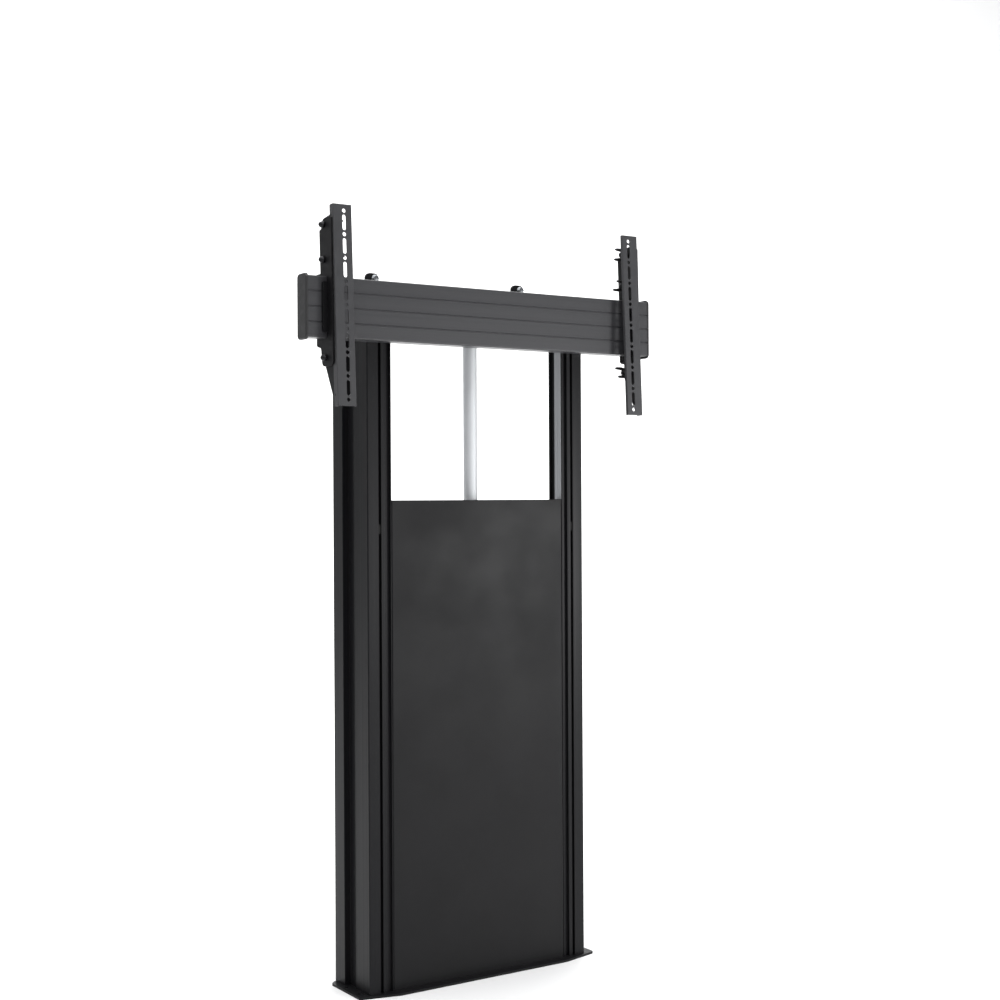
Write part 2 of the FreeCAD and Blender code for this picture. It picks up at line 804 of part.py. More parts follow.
def inner_tube_bottom():
    return head_bottom - inner_tube_length


def gas_spring_rod():
    # Piston, rod and the thrust disc that lifts the inner tube.
    piston_top = spring_cylinder_foot() + cylinder_length - 10
    thrust = inner_tube_bottom()
    piston = rod_z(0, strut_back, piston_top - piston_length, piston_top,
                   cylinder_outer / 2 - cylinder_wall - turn_gap)
    rod = rod_z(0, strut_back, piston_top - 1, thrust - 2, rod_size / 2)
    disc = rod_z(0, strut_back, thrust - 6, thrust, inner_tube / 2)
    spigot = rod_z(0, strut_back, thrust, thrust + foot_spigot, inner_tube / 2 - tube_wall - seat_gap)
    return joined([piston, rod, disc, spigot])


def strut_inner_tube():
    return tube(inner_tube / 2, tube_wall, inner_tube_bottom(), head_bottom)


def strut_head_bracket():
    # Shelf from the carriage plate over the strut, with two gussets.
    reach = strut_back + inner_tube / 2 + head_margin
    gusset_back = reach - head_gusset_inset
    shelf = plan([(-head_half_width, carriage_back, 0), (head_half_width, carriage_back, 0),
                  (head_half_width, reach, head_corner), (-head_half_width, reach, head_corner)],
                 head_bottom, head_top)
    back = box(-head_half_width, head_half_width, carriage_back, carriage_back + head_gusset,
               head_top - 1, bar_top - carriage_margin)
    pieces = [shelf, back]
    for x0 in (-head_half_width, head_half_width - head_gusset):
        pieces.append(side([(carriage_back + 1, head_top - 1, 0), (gusset_back, head_top - 1, 0),
                            (gusset_back, head_top + head_margin, 0),
                            (carriage_back + head_margin, bar_top - carriage_margin, 0),
                            (carriage_back + 1, bar_top - carriage_margin, 0)], x0, x0 + head_gusset))
    bracket = joined(pieces)
    return bracket.cut(rod_z(0, strut_back, head_bottom - 1, head_top + 1, head_bolt / 2 + screw_gap))


def strut_head_bolt():
    # Bolt through the shelf into the plug in the inner tube's top.
    plug = rod_z(0, strut_back, head_bottom - head_plug, head_bottom - 0.2,
                 inner_tube / 2 - tube_wall - seat_gap)
    shank = rod_z(0, strut_back, head_bottom - 1, head_top + 1, head_bolt / 2)
    washer = rod_z(0, strut_back, head_top, head_top + 2, head_bolt)
    head = hexagon(V(0, strut_back, head_top + 2), V(0, 0, 1), head_bolt * 1.5, 8)
    return joined([plug, shank, washer, head])


# Carriage and crossbar


def shoe_spans():
    low = bar_bottom + carriage_margin
    high = column_top - 4.0
    return [(low, low + shoe_length), (high - shoe_length, high)]


def shoe_screw_places():
    return [(track_middle, (z0 + z1) / 2) for z0, z1 in shoe_spans()]


def bar_screw_places():
    low = bar_bottom + bar_height * bar_screw_share
    high = bar_top - bar_height * bar_screw_share
    return [(sign * x, z) for sign in (-1, 1) for x in (bar_screw_near, bar_screw_far)
            for z in (low, high)]


def bar_screw_piece(x, z, extra=0.0):
    radius = bar_screw / 2 + extra
    head_radius = bar_screw_head / 2 + extra
    head = Part.makeCone(head_radius, radius, carriage_thickness - 0.5,
                         V(x, carriage_back - (0.0 if extra else 0.05), z), V(0, -1, 0))
    shank = rod_y(x, bar_back - bar_wall, carriage_back - 1, z, radius)
    return joined([head, shank])


def shoe_screw_piece(x, z, extra=0.0):
    return rod_y(x, carriage_front, track_depth - slide_gap - 1.5, z, shoe_screw / 2 + extra)


def carriage_plate():
    half = column_outer - carriage_side_inset
    low = bar_bottom + carriage_margin
    high = bar_top - carriage_margin
    plate = front(rectangle(-half, half, low, high, 6), carriage_front, carriage_back)
    for x, z in bar_screw_places():
        plate = plate.cut(bar_screw_piece(x, z, screw_gap))
    for x, z in shoe_screw_places():
        for place_x in (x, -x):
            plate = plate.cut(shoe_screw_piece(place_x, z, screw_gap))
    return plate


def bar_screws():
    return Part.Compound([bar_screw_piece(x, z) for x, z in bar_screw_places()])


def shoe_screws():
    pieces = []
    for x, z in shoe_screw_places():
        pieces += both_sides(shoe_screw_piece(x, z))
    return Part.Compound(pieces)


def guide_shoes():
    # T-shaped shoes that run in the columns' guide tracks.
    shoes = []
    for z0, z1 in shoe_spans():
        shoe = track_cut(z0, z1, slide_gap)
        shoe = shoe.common(box(0, column_outer, carriage_back, track_depth, z0, z1))
        shoe = shoe.cut(shoe_screw_piece(track_middle, (z0 + z1) / 2, screw_gap))
        shoes += both_sides(shoe)
    return Part.Compound(shoes)


def travel_stops():
    # Rubber blocks in the tracks that end the carriage's travel.
    top = shoe_spans()[0][0] - lift_travel - 1.0
    stop = track_cut(top - stop_length, top, slide_gap / 3)
    stop = stop.common(box(0, column_outer, track_lip, track_depth, top - stop_length, top))
    return Part.Compound(both_sides(stop))


def bar_section(grow=0.0):
    # Corners of the crossbar's outline, in Y and Z.
    return rectangle(bar_front - grow, bar_back + grow, bar_bottom - grow, bar_top + grow, bar_radius + grow)


def crossbar():
    bar = side(bar_section(), -bar_half_length, bar_half_length)
    for outline in bar_hollows():
        bar = bar.cut(side(outline, -bar_half_length - 1, bar_half_length + 1))
    spacing = bar_height / (bar_groove_count + 1)
    for index in range(bar_groove_count):
        z = bar_bottom + spacing * (index + 1)
        half = bar_groove_width / 2
        floor = bar_front + bar_groove_depth
        groove = side([(bar_front - 1, z - half - 0.6, 0), (floor, z - half / 2, 0),
                       (floor, z + half / 2, 0), (bar_front - 1, z + half + 0.6, 0)],
                      -bar_half_length - 1, bar_half_length + 1)
        bar = bar.cut(groove)
    for x, z in bar_screw_places():
        bar = bar.cut(rod_y(x, bar_back - bar_wall - 1, bar_back + 1, z, bar_screw / 2 + screw_gap))
    return bar


def bar_hollows():
    # Three chambers, one above another.
    wall = bar_wall
    y0 = bar_front + wall + bar_groove_depth
    y1 = bar_back - wall
    clear = (bar_height - 4 * wall) / 3
    hollows = []
    for index in range(3):
        z0 = bar_bottom + wall + index * (clear + wall)
        hollows.append(rectangle(y0, y1, z0, z0 + clear, 2))
    return hollows


def end_cap():
    # Moulded cap on the crossbar's right end.
    x0 = bar_half_length
    x1 = bar_half_length + bar_cap_length
    outline = rectangle(bar_front - bar_cap_side_proud, bar_back + bar_cap_side_proud,
                        bar_bottom - bar_cap_proud, bar_top + bar_cap_proud, bar_cap_radius)
    cap = side(outline, x0, x1)
    rim = [edge for edge in cap.Edges if min(vertex.X for vertex in edge.Vertexes) > x1 - 0.01]
    cap = cap.makeFillet(bar_cap_round, rim)
    plugs = []
    for y0y1 in bar_hollows():
        low_y, low_z = y0y1[0][0] + seat_gap, y0y1[0][1] + seat_gap
        high_y, high_z = y0y1[2][0] - seat_gap, y0y1[2][1] - seat_gap
        plugs.append(side(rectangle(low_y, high_y, low_z, high_z, 2), x0 - bar_cap_plug, x0 + 1))
    return joined([cap] + plugs)


# Display brackets, built for the right side


def tilted(y, z, angle):
    # A point turned about the pivot, top forward for a positive angle.
    turn = math.radians(angle)
    dy = y + pivot_front
    dz = z - pivot_height
    return (-pivot_front + dy * math.cos(turn) - dz * math.sin(turn),
            pivot_height + dy * math.sin(turn) + dz * math.cos(turn))


def display_rail():
    inner = bracket_at - rail_inner_half
    outer = bracket_at + rail_outer_half
    sheet = rail_sheet
    y0 = rail_face
    y1 = rail_face + rail_return
    inner_end = rail_face + rail_inner_return
    outline = [(inner, inner_end, 0), (inner, y0, rail_bend), (outer, y0, rail_bend), (outer, y1, 0),
               (outer - sheet, y1, 0), (outer - sheet, y0 + sheet, 0.5),
               (inner + sheet, y0 + sheet, 0.5), (inner + sheet, inner_end, 0)]
    rail = plan(outline, rail_bottom, rail_top)
    cutters = []
    span = display_pitch * (display_hole_count - 1)
    for index in range(display_hole_count):
        z = rail_middle - span / 2 + index * display_pitch
        cutters.append(rod_y(bracket_at, y0 - 1, y0 + sheet + 1, z, display_hole / 2))
    half = display_hole / 2
    for index in range(display_hole_count - 1):
        z = rail_middle - span / 2 + (index + 0.5) * display_pitch
        cutters.append(front(rectangle(bracket_at - half, bracket_at + half,
                                       z - display_slot / 2, z + display_slot / 2, half - 0.01),
                             y0 - 1, y0 + sheet + 1))
    rail = rail.cut(Part.Compound(cutters))
    for z in rivet_heights():
        rail = rail.cut(rod_x(outer - sheet - 1, outer + 1, rivet_y(), z, rivet_size / 2))
    return rail


def rivet_y():
    return rail_face + rail_return * rivet_share


def rivet_heights():
    return [rail_bottom + rivet_end, rail_middle - rivet_below, rail_middle + rivet_above,
            rail_top - rivet_end]


def domed_head(x, y, z, width, height, sense=1):
    # A round head that stands on the plane at x and bulges outwards, or inwards for -1.
    radius = (width ** 2 / 4 + height ** 2) / (2 * height)
    dome = Part.makeSphere(radius, V(x + sense * (height - radius), y, z))
    ends = sorted((x, x + sense * (height + 1)))
    return dome.common(box(ends[0], ends[1], y - width, y + width, z - width, z + width))


def rail_rivets():
    # Rivets that hold the rail to its tilt plate, flush outside, domed inside.
    outer = bracket_at + rail_outer_half
    inside = outer - rail_sheet - tilt_plate
    rivets = []
    for z in rivet_heights():
        shank = rod_x(inside, outer, rivet_y(), z, (rivet_size - screw_gap) / 2)
        dome = domed_head(inside, rivet_y(), z, rivet_head, rivet_size * 0.4, -1)
        rivets.append(joined([shank, dome]))
    return Part.Compound(rivets)


def tilt_plate_spans():
    x1 = bracket_at + rail_outer_half - rail_sheet
    return x1 - tilt_plate, x1


def hook_plate_spans():
    x0 = bracket_at + rail_outer_half + slide_gap
    return x0, x0 + hook_plate


def arc_slot(y, z, x0, x1):
    # The path of a stud through the tilt plate, as wide as the stud and its play.
    half = stud_size / 2 + slide_gap
    radius = math.hypot(y + pivot_front, z - pivot_height)
    turns = [-tilt_forward - 0.3, (tilt_back - tilt_forward) / 2, tilt_back + 0.3]
    outer_points = []
    inner_points = []
    ends = []
    for turn in turns:
        py, pz = tilted(y, z, turn)
        dy, dz = (py + pivot_front) / radius, (pz - pivot_height) / radius
        outer_points.append(V(x0, py + dy * half, pz + dz * half))
        inner_points.append(V(x0, py - dy * half, pz - dz * half))
    for turn, sense in ((turns[2], 1), (turns[0], -1)):
        beyond = sense * math.degrees(half / radius)
        py, pz = tilted(y, z, turn + beyond)
        ends.append(V(x0, py, pz))
    edges = [Part.Arc(*outer_points).toShape(),
             Part.Arc(outer_points[2], ends[0], inner_points[2]).toShape(),
             Part.Arc(*reversed(inner_points)).toShape(),
             Part.Arc(inner_points[0], ends[1], outer_points[0]).toShape()]
    return Part.Face(Part.Wire(edges)).extrude(V(x1 - x0, 0, 0))


def tilt_plate_piece():
    # Flat plate on the rail's outer return, notched round the crossbar.
    x0, x1 = tilt_plate_spans()
    front_y = rail_face + rail_sheet + slide_gap * 2
    swing = (bar_top + bar_cap_proud - pivot_height) * math.sin(math.radians(tilt_back))
    ahead = bar_front - swing - notch_play
    above = bar_top + notch_above
    below = bar_bottom - notch_below
    rear = bar_back - ear_inset
    low_rear = -pivot_front + hook_end_radius
    return_back = rail_face + rail_return
    shoulder = (upper_stud_height + rail_top) / 2
    outline = [(front_y, rail_bottom, 0), (front_y, rail_top, 0), (return_back, rail_top, plate_corner),
               (return_back, shoulder, ear_corner / 2),
               (-upper_stud_front + ear_front, upper_stud_height + ear_crown, ear_corner),
               (rear, upper_stud_height - ear_inset, ear_corner), (rear, above, ear_corner / 2),
               (ahead, above, plate_corner), (ahead, below, plate_corner),
               (low_rear, below, ear_corner / 2), (low_rear, pivot_height - lobe_drop, ear_corner),
               (return_back, rail_bottom, plate_corner)]
    plate = side(outline, x0, x1)
    for y, z in ((-upper_stud_front, upper_stud_height), (-middle_stud_front, middle_stud_height)):
        plate = plate.cut(arc_slot(y, z, x0 - 1, x1 + 1))
    plate = plate.cut(rod_x(x0 - 1, x1 + 1, -pivot_front, pivot_height,
                            stud_size / 2 + turn_gap + pivot_bush_wall))
    for z in rivet_heights():
        plate = plate.cut(rod_x(x0 - 1, x1 + 1, rivet_y(), z, rivet_size / 2))
    return plate


def pivot_bush():
    x0, x1 = tilt_plate_spans()
    sleeve = rod_x(x0, x1, -pivot_front, pivot_height, stud_size / 2 + turn_gap + pivot_bush_wall)
    return sleeve.cut(rod_x(x0 - 1, x1 + 1, -pivot_front, pivot_height, stud_size / 2 + turn_gap))


def stud_places():
    return [(-upper_stud_front, upper_stud_height), (-middle_stud_front, middle_stud_height),
            (-pivot_front, pivot_height)]


def hook_plate_piece():
    # Plate outside the rail that hangs round the crossbar and carries the three studs.
    x0, x1 = hook_plate_spans()
    gap = slide_gap
    swing = (hook_top - pivot_height) * math.sin(math.radians(tilt_back))
    top_front = rail_face + swing + hook_front_play
    low_front = rail_face + hook_low_inset
    rear = bar_back + gap + hook_lip
    low = pivot_height - hook_foot
    low_rear = -pivot_front + hook_end_radius
    outline = [(low_front, low, hook_corner), (top_front, hook_top, plate_corner),
               (-hook_tip, hook_top, plate_corner), (-hook_back, hook_top - hook_slope, ear_corner),
               (-hook_back, bar_top + hook_nib, plate_corner), (rear, bar_top + hook_nib, plate_corner),
               (rear, bar_top - hook_lip_drop, 2), (bar_back + gap, bar_top - hook_lip_drop, 1),
               (bar_back + gap, bar_top + gap, 1), (bar_front - gap, bar_top + gap, 1),
               (bar_front - gap, bar_bottom - gap, 1), (bar_back + gap, bar_bottom - gap, 1),
               (bar_back + gap, bar_bottom + hook_hold, 1), (rear, bar_bottom + hook_hold, 2),
               (rear, bar_bottom - hook_end_radius, ear_corner),
               (low_rear + hook_hold, bar_bottom - hook_waist, hook_hold),
               (low_rear, low, hook_corner)]
    plate = side(outline, x0, x1)
    flange = front(rectangle(x0, x1 + hook_flange, bar_bottom + hook_flange_inset,
                             bar_top - hook_flange_inset, plate_corner),
                   bar_front - gap - hook_plate, bar_front - gap)
    plate = joined([plate, flange])
    for y, z in stud_places():
        plate = plate.cut(rod_x(x0 - 1, x1 + 1, y, z, stud_size / 2))
    return plate


def bracket_studs():
    # Studs fixed in the hook plate, with a cap nut outside and a shoulder towards the tilt plate.
    plate_in, plate_out = hook_plate_spans()
    tilt_in, tilt_out = tilt_plate_spans()
    inside = tilt_in - seat_gap - knob_hub_length - 2
    studs = []
    for y, z in stud_places():
        shank = rod_x(inside, plate_out + 1, y, z, stud_size / 2)
        collar = rod_x(tilt_out + seat_gap, plate_in, y, z, stud_collar / 2)
        nut = hexagon(V(plate_out, y, z), X_AXIS, cap_nut, cap_nut_height)
        dome = domed_head(plate_out + cap_nut_height, y, z, cap_nut * 0.95, cap_nut_dome)
        studs.append(joined([shank, collar, nut, dome]))
    return Part.Compound(studs)


def wing_knob(y, z, turn):
    # Knob on a stud's inner end, its two wings splayed away from the plate.
    x1 = tilt_plate_spans()[0] - seat_gap
    hub = rod_x(x1 - knob_hub_length, x1, y, z, knob_hub / 2)
    collar = rod_x(x1 - 4, x1, y, z, knob_collar / 2)
    pieces = [hub, collar]
    half = knob_wing / 2
    tip = x1 - knob_length
    for sign in (-1, 1):
        wing = [(x1 - 5, sign * 4, 0), (x1 - 5, sign * (knob_hub / 2 + 0.5), 3),
                (tip + 8, sign * knob_reach, 4), (tip, sign * (knob_reach - 2), 3),
                (tip + 3, sign * (knob_reach - 7), 2), (x1 - knob_hub_length + 1, sign * 4, 3)]
        face = rounded_face(wing, lambda u, v: V(u, y - half, z + v))
        pieces.append(face.extrude(V(0, knob_wing, 0)))
    knob = joined(pieces)
    knob = knob.cut(rod_x(tip, x1 + 1, y, z, stud_size / 2 + turn_gap))
    knob.rotate(V(0, y, z), X_AXIS, turn)
    return knob


def upper_knob():
    return wing_knob(-upper_stud_front, upper_stud_height, upper_knob_turn)


def middle_knob():
    return wing_knob(-middle_stud_front, middle_stud_height, middle_knob_turn)


def lower_knob():
    return wing_knob(-pivot_front, pivot_height, lower_knob_turn)


def saved_shift():
    # From the columns' front faces to the middle of the stand's own box: the foot
    # of a rail reaches farthest forward and the columns' backs farthest back.
    return -(tilted(rail_face, rail_bottom, -rest_tilt)[0] + column_depth) / 2


def save(name, shape):
    moved = shape.copy()
    moved.translate(V(0, saved_shift(), 0))
    moved.exportStep("parts/%s.step" % name)
    solids = moved.Solids
    if not solids or not all(solid.isValid() for solid in solids):
        raise ValueError(name + " is not a valid solid")
    print("%-26s solids %2d  volume %10.1f mm3" % (name, len(solids), sum(s.Volume for s in solids)))


def save_pair(name, shape):
    save("right_" + name, shape)
    save("left_" + name, mirrored(shape))


def save_leaning_pair(name, shape):
    # Pieces that tilt with the rails, turned back to where they stand at rest.
    leaning = shape.copy()
    leaning.rotate(V(0, -pivot_front, pivot_height), X_AXIS, -rest_tilt)
    save_pair(name, leaning)


os.makedirs("parts", exist_ok=True)

save("base_plate", base_plate())
save("column_foot_screws", column_foot_screws())
save_pair("column", column())
save_pair("column_cap", column_cap())
save("front_cover", front_cover())
save("cover_screws", cover_screws())
save("middle_cross_member", middle_cross_member())
save("lower_cross_member", lower_cross_member())
save("rear_cross_member", rear_member(rear_low_member_top))
save("top_cross_member", top_cross_member())
save("member_bolts", member_bolts())
save("wall_brackets", wall_brackets())
save("wall_clamp_bolts", wall_clamp_bolts())
save("travel_stops", travel_stops())

save("strut_foot_bracket", strut_foot_bracket())
save("strut_foot_pin", strut_foot_pin())
save("strut_foot_plug", strut_foot_plug())
save("strut_outer_tube", strut_outer_tube())
save("strut_bush", strut_bush())
save("strut_clamp", strut_clamp())
save("gas_spring_cylinder", gas_spring_cylinder())

save("gas_spring_rod", gas_spring_rod())
save("strut_inner_tube", strut_inner_tube())
save("strut_head_bracket", strut_head_bracket())
save("strut_head_bolt", strut_head_bolt())
save("carriage_plate", carriage_plate())
save("guide_shoes", guide_shoes())
save("shoe_screws", shoe_screws())
save("crossbar", crossbar())
save("bar_screws", bar_screws())
save_pair("end_cap", end_cap())

save_pair("hook_plate", hook_plate_piece())
save_pair("bracket_studs", bracket_studs())
save_leaning_pair("display_rail", display_rail())
save_leaning_pair("tilt_plate", tilt_plate_piece())
save_leaning_pair("pivot_bush", pivot_bush())
save_leaning_pair("rail_rivets", rail_rivets())
save_pair("upper_knob", upper_knob())
save_pair("middle_knob", middle_knob())
save_pair("lower_knob", lower_knob())
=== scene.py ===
# %% [markdown]
# # A height-adjustable floor stand
#
# The real object is a steel and aluminium stand: a flat base plate, two tall
# extruded columns, a folded cover between them, a crossbar that slides up and
# down on a gas strut, and two hooked brackets with upright rails. The
# engineering model already has every piece at its true size. This lesson
# gives those pieces their finishes, adds the small parts that only matter to
# the eye, and sets up the camera and the studio.

# %% Load the engineering model
import math
import bmesh
import bpy
from mathutils import Matrix, Vector


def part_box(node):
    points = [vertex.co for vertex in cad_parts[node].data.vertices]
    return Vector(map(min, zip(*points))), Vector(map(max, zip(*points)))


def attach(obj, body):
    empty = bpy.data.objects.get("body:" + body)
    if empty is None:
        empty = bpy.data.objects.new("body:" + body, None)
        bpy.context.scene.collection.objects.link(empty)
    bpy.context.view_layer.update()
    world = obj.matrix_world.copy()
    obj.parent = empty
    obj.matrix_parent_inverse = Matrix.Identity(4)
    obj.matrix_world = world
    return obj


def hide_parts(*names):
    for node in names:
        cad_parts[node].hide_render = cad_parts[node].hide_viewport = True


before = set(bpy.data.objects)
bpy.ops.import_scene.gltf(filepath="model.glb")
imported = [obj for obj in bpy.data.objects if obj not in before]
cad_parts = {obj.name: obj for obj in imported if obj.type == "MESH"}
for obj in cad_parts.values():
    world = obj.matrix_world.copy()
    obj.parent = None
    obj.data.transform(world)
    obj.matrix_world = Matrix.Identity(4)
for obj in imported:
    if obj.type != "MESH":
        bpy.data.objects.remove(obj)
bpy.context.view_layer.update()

print("nodes in the model:", len(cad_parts))

# %% [markdown]
# Lengths on a drawing are in millimetres, and Blender works in metres. One
# tiny value keeps the two apart, so every size below reads as it would on
# the drawing. Most pieces come in a left and a right form.

# %% Millimetres and sides
MM = 0.001
METRE_IN_MM = 1000
SIDES = ("left", "right")
print("one metre is", METRE_IN_MM, "mm")

# %% [markdown]
# ## The camera
#
# The picture was taken from the stand's left, level, a little over three
# metres in front. Those numbers come from fitting a pinhole camera to the
# edges of the columns, the crossbar and the base. A camera can be posed by
# eye too, but only a fitted one lays every edge where the picture has it.
# A camera in Blender looks along its own -Z, so its three axes are written
# out as the columns of a matrix: to the right, up, and backwards.

# %% Place the camera
CAMERA_PLACE = Vector((-1.9546, -3.0612, 1.0837))
TURNED = math.radians(33.54)     # from straight ahead towards +X
PITCHED = math.radians(-0.018)
ROLLED = math.radians(-0.294)
FRAME_PIXELS = 1000              # width of the picture
FOCAL_PIXELS = 1584.9            # focal length, in pixels of that picture
SENSOR = 36.0                    # width, mm

ahead = Vector((math.sin(TURNED) * math.cos(PITCHED), math.cos(TURNED) * math.cos(PITCHED),
                math.sin(PITCHED)))
level_right = Vector((math.cos(TURNED), -math.sin(TURNED), 0.0))
level_up = level_right.cross(ahead)
right = level_right * math.cos(ROLLED) + level_up * math.sin(ROLLED)
up = level_up * math.cos(ROLLED) - level_right * math.sin(ROLLED)

lens = bpy.data.cameras.new("photo_camera")
lens.sensor_width = SENSOR
lens.lens = FOCAL_PIXELS * SENSOR / FRAME_PIXELS
lens.clip_start = 0.05
lens.clip_end = 60.0
camera = bpy.data.objects.new("photo_camera", lens)
bpy.context.scene.collection.objects.link(camera)
camera.matrix_world = Matrix.Translation(CAMERA_PLACE) @ Matrix((right, up, -ahead)).transposed().to_4x4()
bpy.context.scene.camera = camera
print("focal length, mm:", round(lens.lens, 2))

# %% [markdown]
# ## Helpers for the finishes
#
# Colours are picked as the eye sees them, as sRGB hex values, but a shader
# adds light up, and for that it needs linear values. One function turns
# the first into the second.

# %% Colour


def linear(hex_colour):
    channels = [int(hex_colour[i:i + 2], 16) / 255 for i in (1, 3, 5)]
    return tuple(c / 12.92 if c <= 0.04045 else ((c + 0.055) / 1.055) ** 2.4 for c in channels) + (1.0,)


print("mid grey #808080 is linear", round(linear("#808080")[0], 3))

# %% [markdown]
# A finish is a small graph of nodes. It can be wired by hand in the shader
# editor, and in code one node takes several lines. So one function adds a
# node, sets its options and fills or links its inputs.

# %% Nodes


def add_node(tree, kind, inputs=None, **options):
    node = tree.nodes.new(kind)
    for name, value in options.items():
        setattr(node, name, value)
    for socket, value in (inputs or {}).items():
        if isinstance(value, bpy.types.NodeSocket):
            tree.links.new(value, node.inputs[socket])
        else:
            node.inputs[socket].default_value = value
    return node


# %% [markdown]
# Each finish starts with a Principled shader. Its uniform values, such as
# metallic or coat, sit on the shader's own sockets, so an exported model
# keeps them.

# %% Start a finish


def start_finish(name, **values):
    finish = bpy.data.materials.new(name)
    finish.use_nodes = True
    tree = finish.node_tree
    shader = tree.nodes["Principled BSDF"]
    for socket, value in values.items():
        shader.inputs[socket.replace("_", " ")].default_value = value
    return finish, tree, shader


# %% [markdown]
# Most of these surfaces differ from place to place in two ways: the sheen is
# a little uneven, and there is a fine relief. Both come from noise whose
# size is given in millimetres. Stretching the noise along one axis turns it
# into the drawn lines of an extrusion. A picture of each surface could be
# wrapped round the pieces instead, but noise in space needs no unwrapping,
# has no seams, and keeps one grain on every piece.

# %% Uneven sheen and fine relief
NOISE_LOW, NOISE_HIGH = 0.3, 0.7  # nearly all values of the noise lie between these


def noise_in_mm(tree, grain, detail=3.0):
    # grain: size of one blotch along X, Y and Z, in millimetres.
    place = add_node(tree, "ShaderNodeTexCoord").outputs["Object"]
    scale = [METRE_IN_MM / size for size in grain]
    scaled = add_node(tree, "ShaderNodeMapping", {"Vector": place, "Scale": scale}).outputs["Vector"]
    noise = add_node(tree, "ShaderNodeTexNoise", {"Vector": scaled, "Scale": 1.0, "Detail": detail})
    return noise.outputs["Fac"]


def tinted(tree, shader, fac, dark, light):
    blend = add_node(tree, "ShaderNodeMix", {"Factor": fac}, data_type="RGBA")
    blend.inputs["A"].default_value = linear(dark)
    blend.inputs["B"].default_value = linear(light)
    tree.links.new(blend.outputs["Result"], shader.inputs["Base Color"])


def uneven(tree, shader, fac, smooth, rough):
    spread = add_node(tree, "ShaderNodeMapRange", {"Value": fac, "From Min": NOISE_LOW, "From Max": NOISE_HIGH,
                                                   "To Min": smooth, "To Max": rough})
    tree.links.new(spread.outputs["Result"], shader.inputs["Roughness"])


def relief(tree, shader, fac, height_mm):
    bump = add_node(tree, "ShaderNodeBump", {"Height": fac, "Distance": height_mm * MM, "Strength": 1.0})
    tree.links.new(bump.outputs["Normal"], shader.inputs["Normal"])


# %% [markdown]
# ## Polyester powder coat on folded steel
#
# The cover, the base plate, the channels and the brackets' hook and tilt
# plates are cut and folded from steel sheet and powder coated: dry paint is
# sprayed on and melted. It flows into a skin with a faint orange peel, one
# bump every millimetre or two, which breaks a reflection into a soft glow.
# The bumps are drawn at 2.4 mm, a little coarser than real, so that a
# render can show them.

# %% Powder coat
powder_coat, tree, shader = start_finish("powder_coat_on_steel", Metallic=0.0, IOR=1.5, Specular_IOR_Level=0.18)
tinted(tree, shader, noise_in_mm(tree, (90, 90, 90)), "#101011", "#151517")
uneven(tree, shader, noise_in_mm(tree, (140, 140, 140), detail=2.0), smooth=0.40, rough=0.50)
relief(tree, shader, noise_in_mm(tree, (2.4, 2.4, 2.4), detail=1.0), height_mm=0.03)
print("finish:", powder_coat.name)

# %% [markdown]
# ## Black anodised aluminium extrusion
#
# The columns and the crossbar are pushed hot through a die, then anodised
# and dyed black. The die leaves hair lines along the whole length, about
# half a millimetre apart, and the dyed oxide over them is satin. Lines cut
# into the mesh would need millions of faces, so they are a relief in the
# shader, drawn at 1.6 mm so that a render can show them. They run along Z
# on the columns and along X on the crossbar, so the noise is stretched
# that way.

# %% Anodised extrusions


def anodised(name, grain, dark, light, specular):
    finish, tree, shader = start_finish(name, Metallic=0.0, IOR=1.5, Specular_IOR_Level=specular)
    lines = noise_in_mm(tree, grain, detail=2.0)
    wide_grain = [size * 4 for size in grain]    # the sheen changes more slowly than the lines
    tinted(tree, shader, lines, dark, light)
    uneven(tree, shader, noise_in_mm(tree, wide_grain, detail=2.0), smooth=0.34, rough=0.46)
    relief(tree, shader, lines, height_mm=0.012)
    return finish


anodised_upright = anodised("anodised_column", (1.6, 1.6, 900), "#131315", "#18181a", specular=0.15)
# The crossbar is the same black anodised aluminium as the columns. Its base colour is painted about three times
# lighter than theirs, as painted glare that greys the whole bar.
anodised_level_painted_glare = anodised("anodised_crossbar_painted_glare", (900, 1.6, 1.6), "#2f2f31", "#37373a", specular=0.5)
print("finishes:", anodised_upright.name, anodised_level_painted_glare.name)

# %% [markdown]
# ## Electro-coated pressed steel
#
# The brackets' upright rails are pressed from steel and dipped in an
# electric paint bath, which covers the inside of every slot evenly. It is
# thinner, greyer and shinier than the powder on the plates behind them. The
# powder's graph serves again, with a finer grain and a lighter tone.

# %% Electro-coat
electro_coat, tree, shader = start_finish("electro_coat_on_steel", Metallic=0.0, IOR=1.5,
                                          Specular_IOR_Level=0.4)
tinted(tree, shader, noise_in_mm(tree, (30, 30, 60)), "#363638", "#404042")
uneven(tree, shader, noise_in_mm(tree, (18, 18, 18), detail=2.0), smooth=0.34, rough=0.46)
relief(tree, shader, noise_in_mm(tree, (1.5, 1.5, 1.5), detail=2.0), height_mm=0.015)
print("finish:", electro_coat.name)

# %% [markdown]
# ## Moulded plastics and rubber
#
# The caps are moulded ABS with a spark-eroded grain, pits about half a
# millimetre wide. The knobs are nylon filled with glass fibre, which
# comes out of the mould duller and blacker. The guide shoes and bushes are
# acetal, smooth and slightly waxy, and the travel stops are dull rubber.
# All four are the same graph with other sizes, so one function makes them.

# %% Plastics and rubber


def moulded(name, dark, light, smooth, rough, pit_mm, depth_mm, ior):
    finish, tree, shader = start_finish(name, Metallic=0.0, IOR=ior)
    tinted(tree, shader, noise_in_mm(tree, (25, 25, 25)), dark, light)
    uneven(tree, shader, noise_in_mm(tree, (12, 12, 12), detail=2.0), smooth, rough)
    relief(tree, shader, noise_in_mm(tree, (pit_mm, pit_mm, pit_mm), detail=1.0), depth_mm)
    return finish


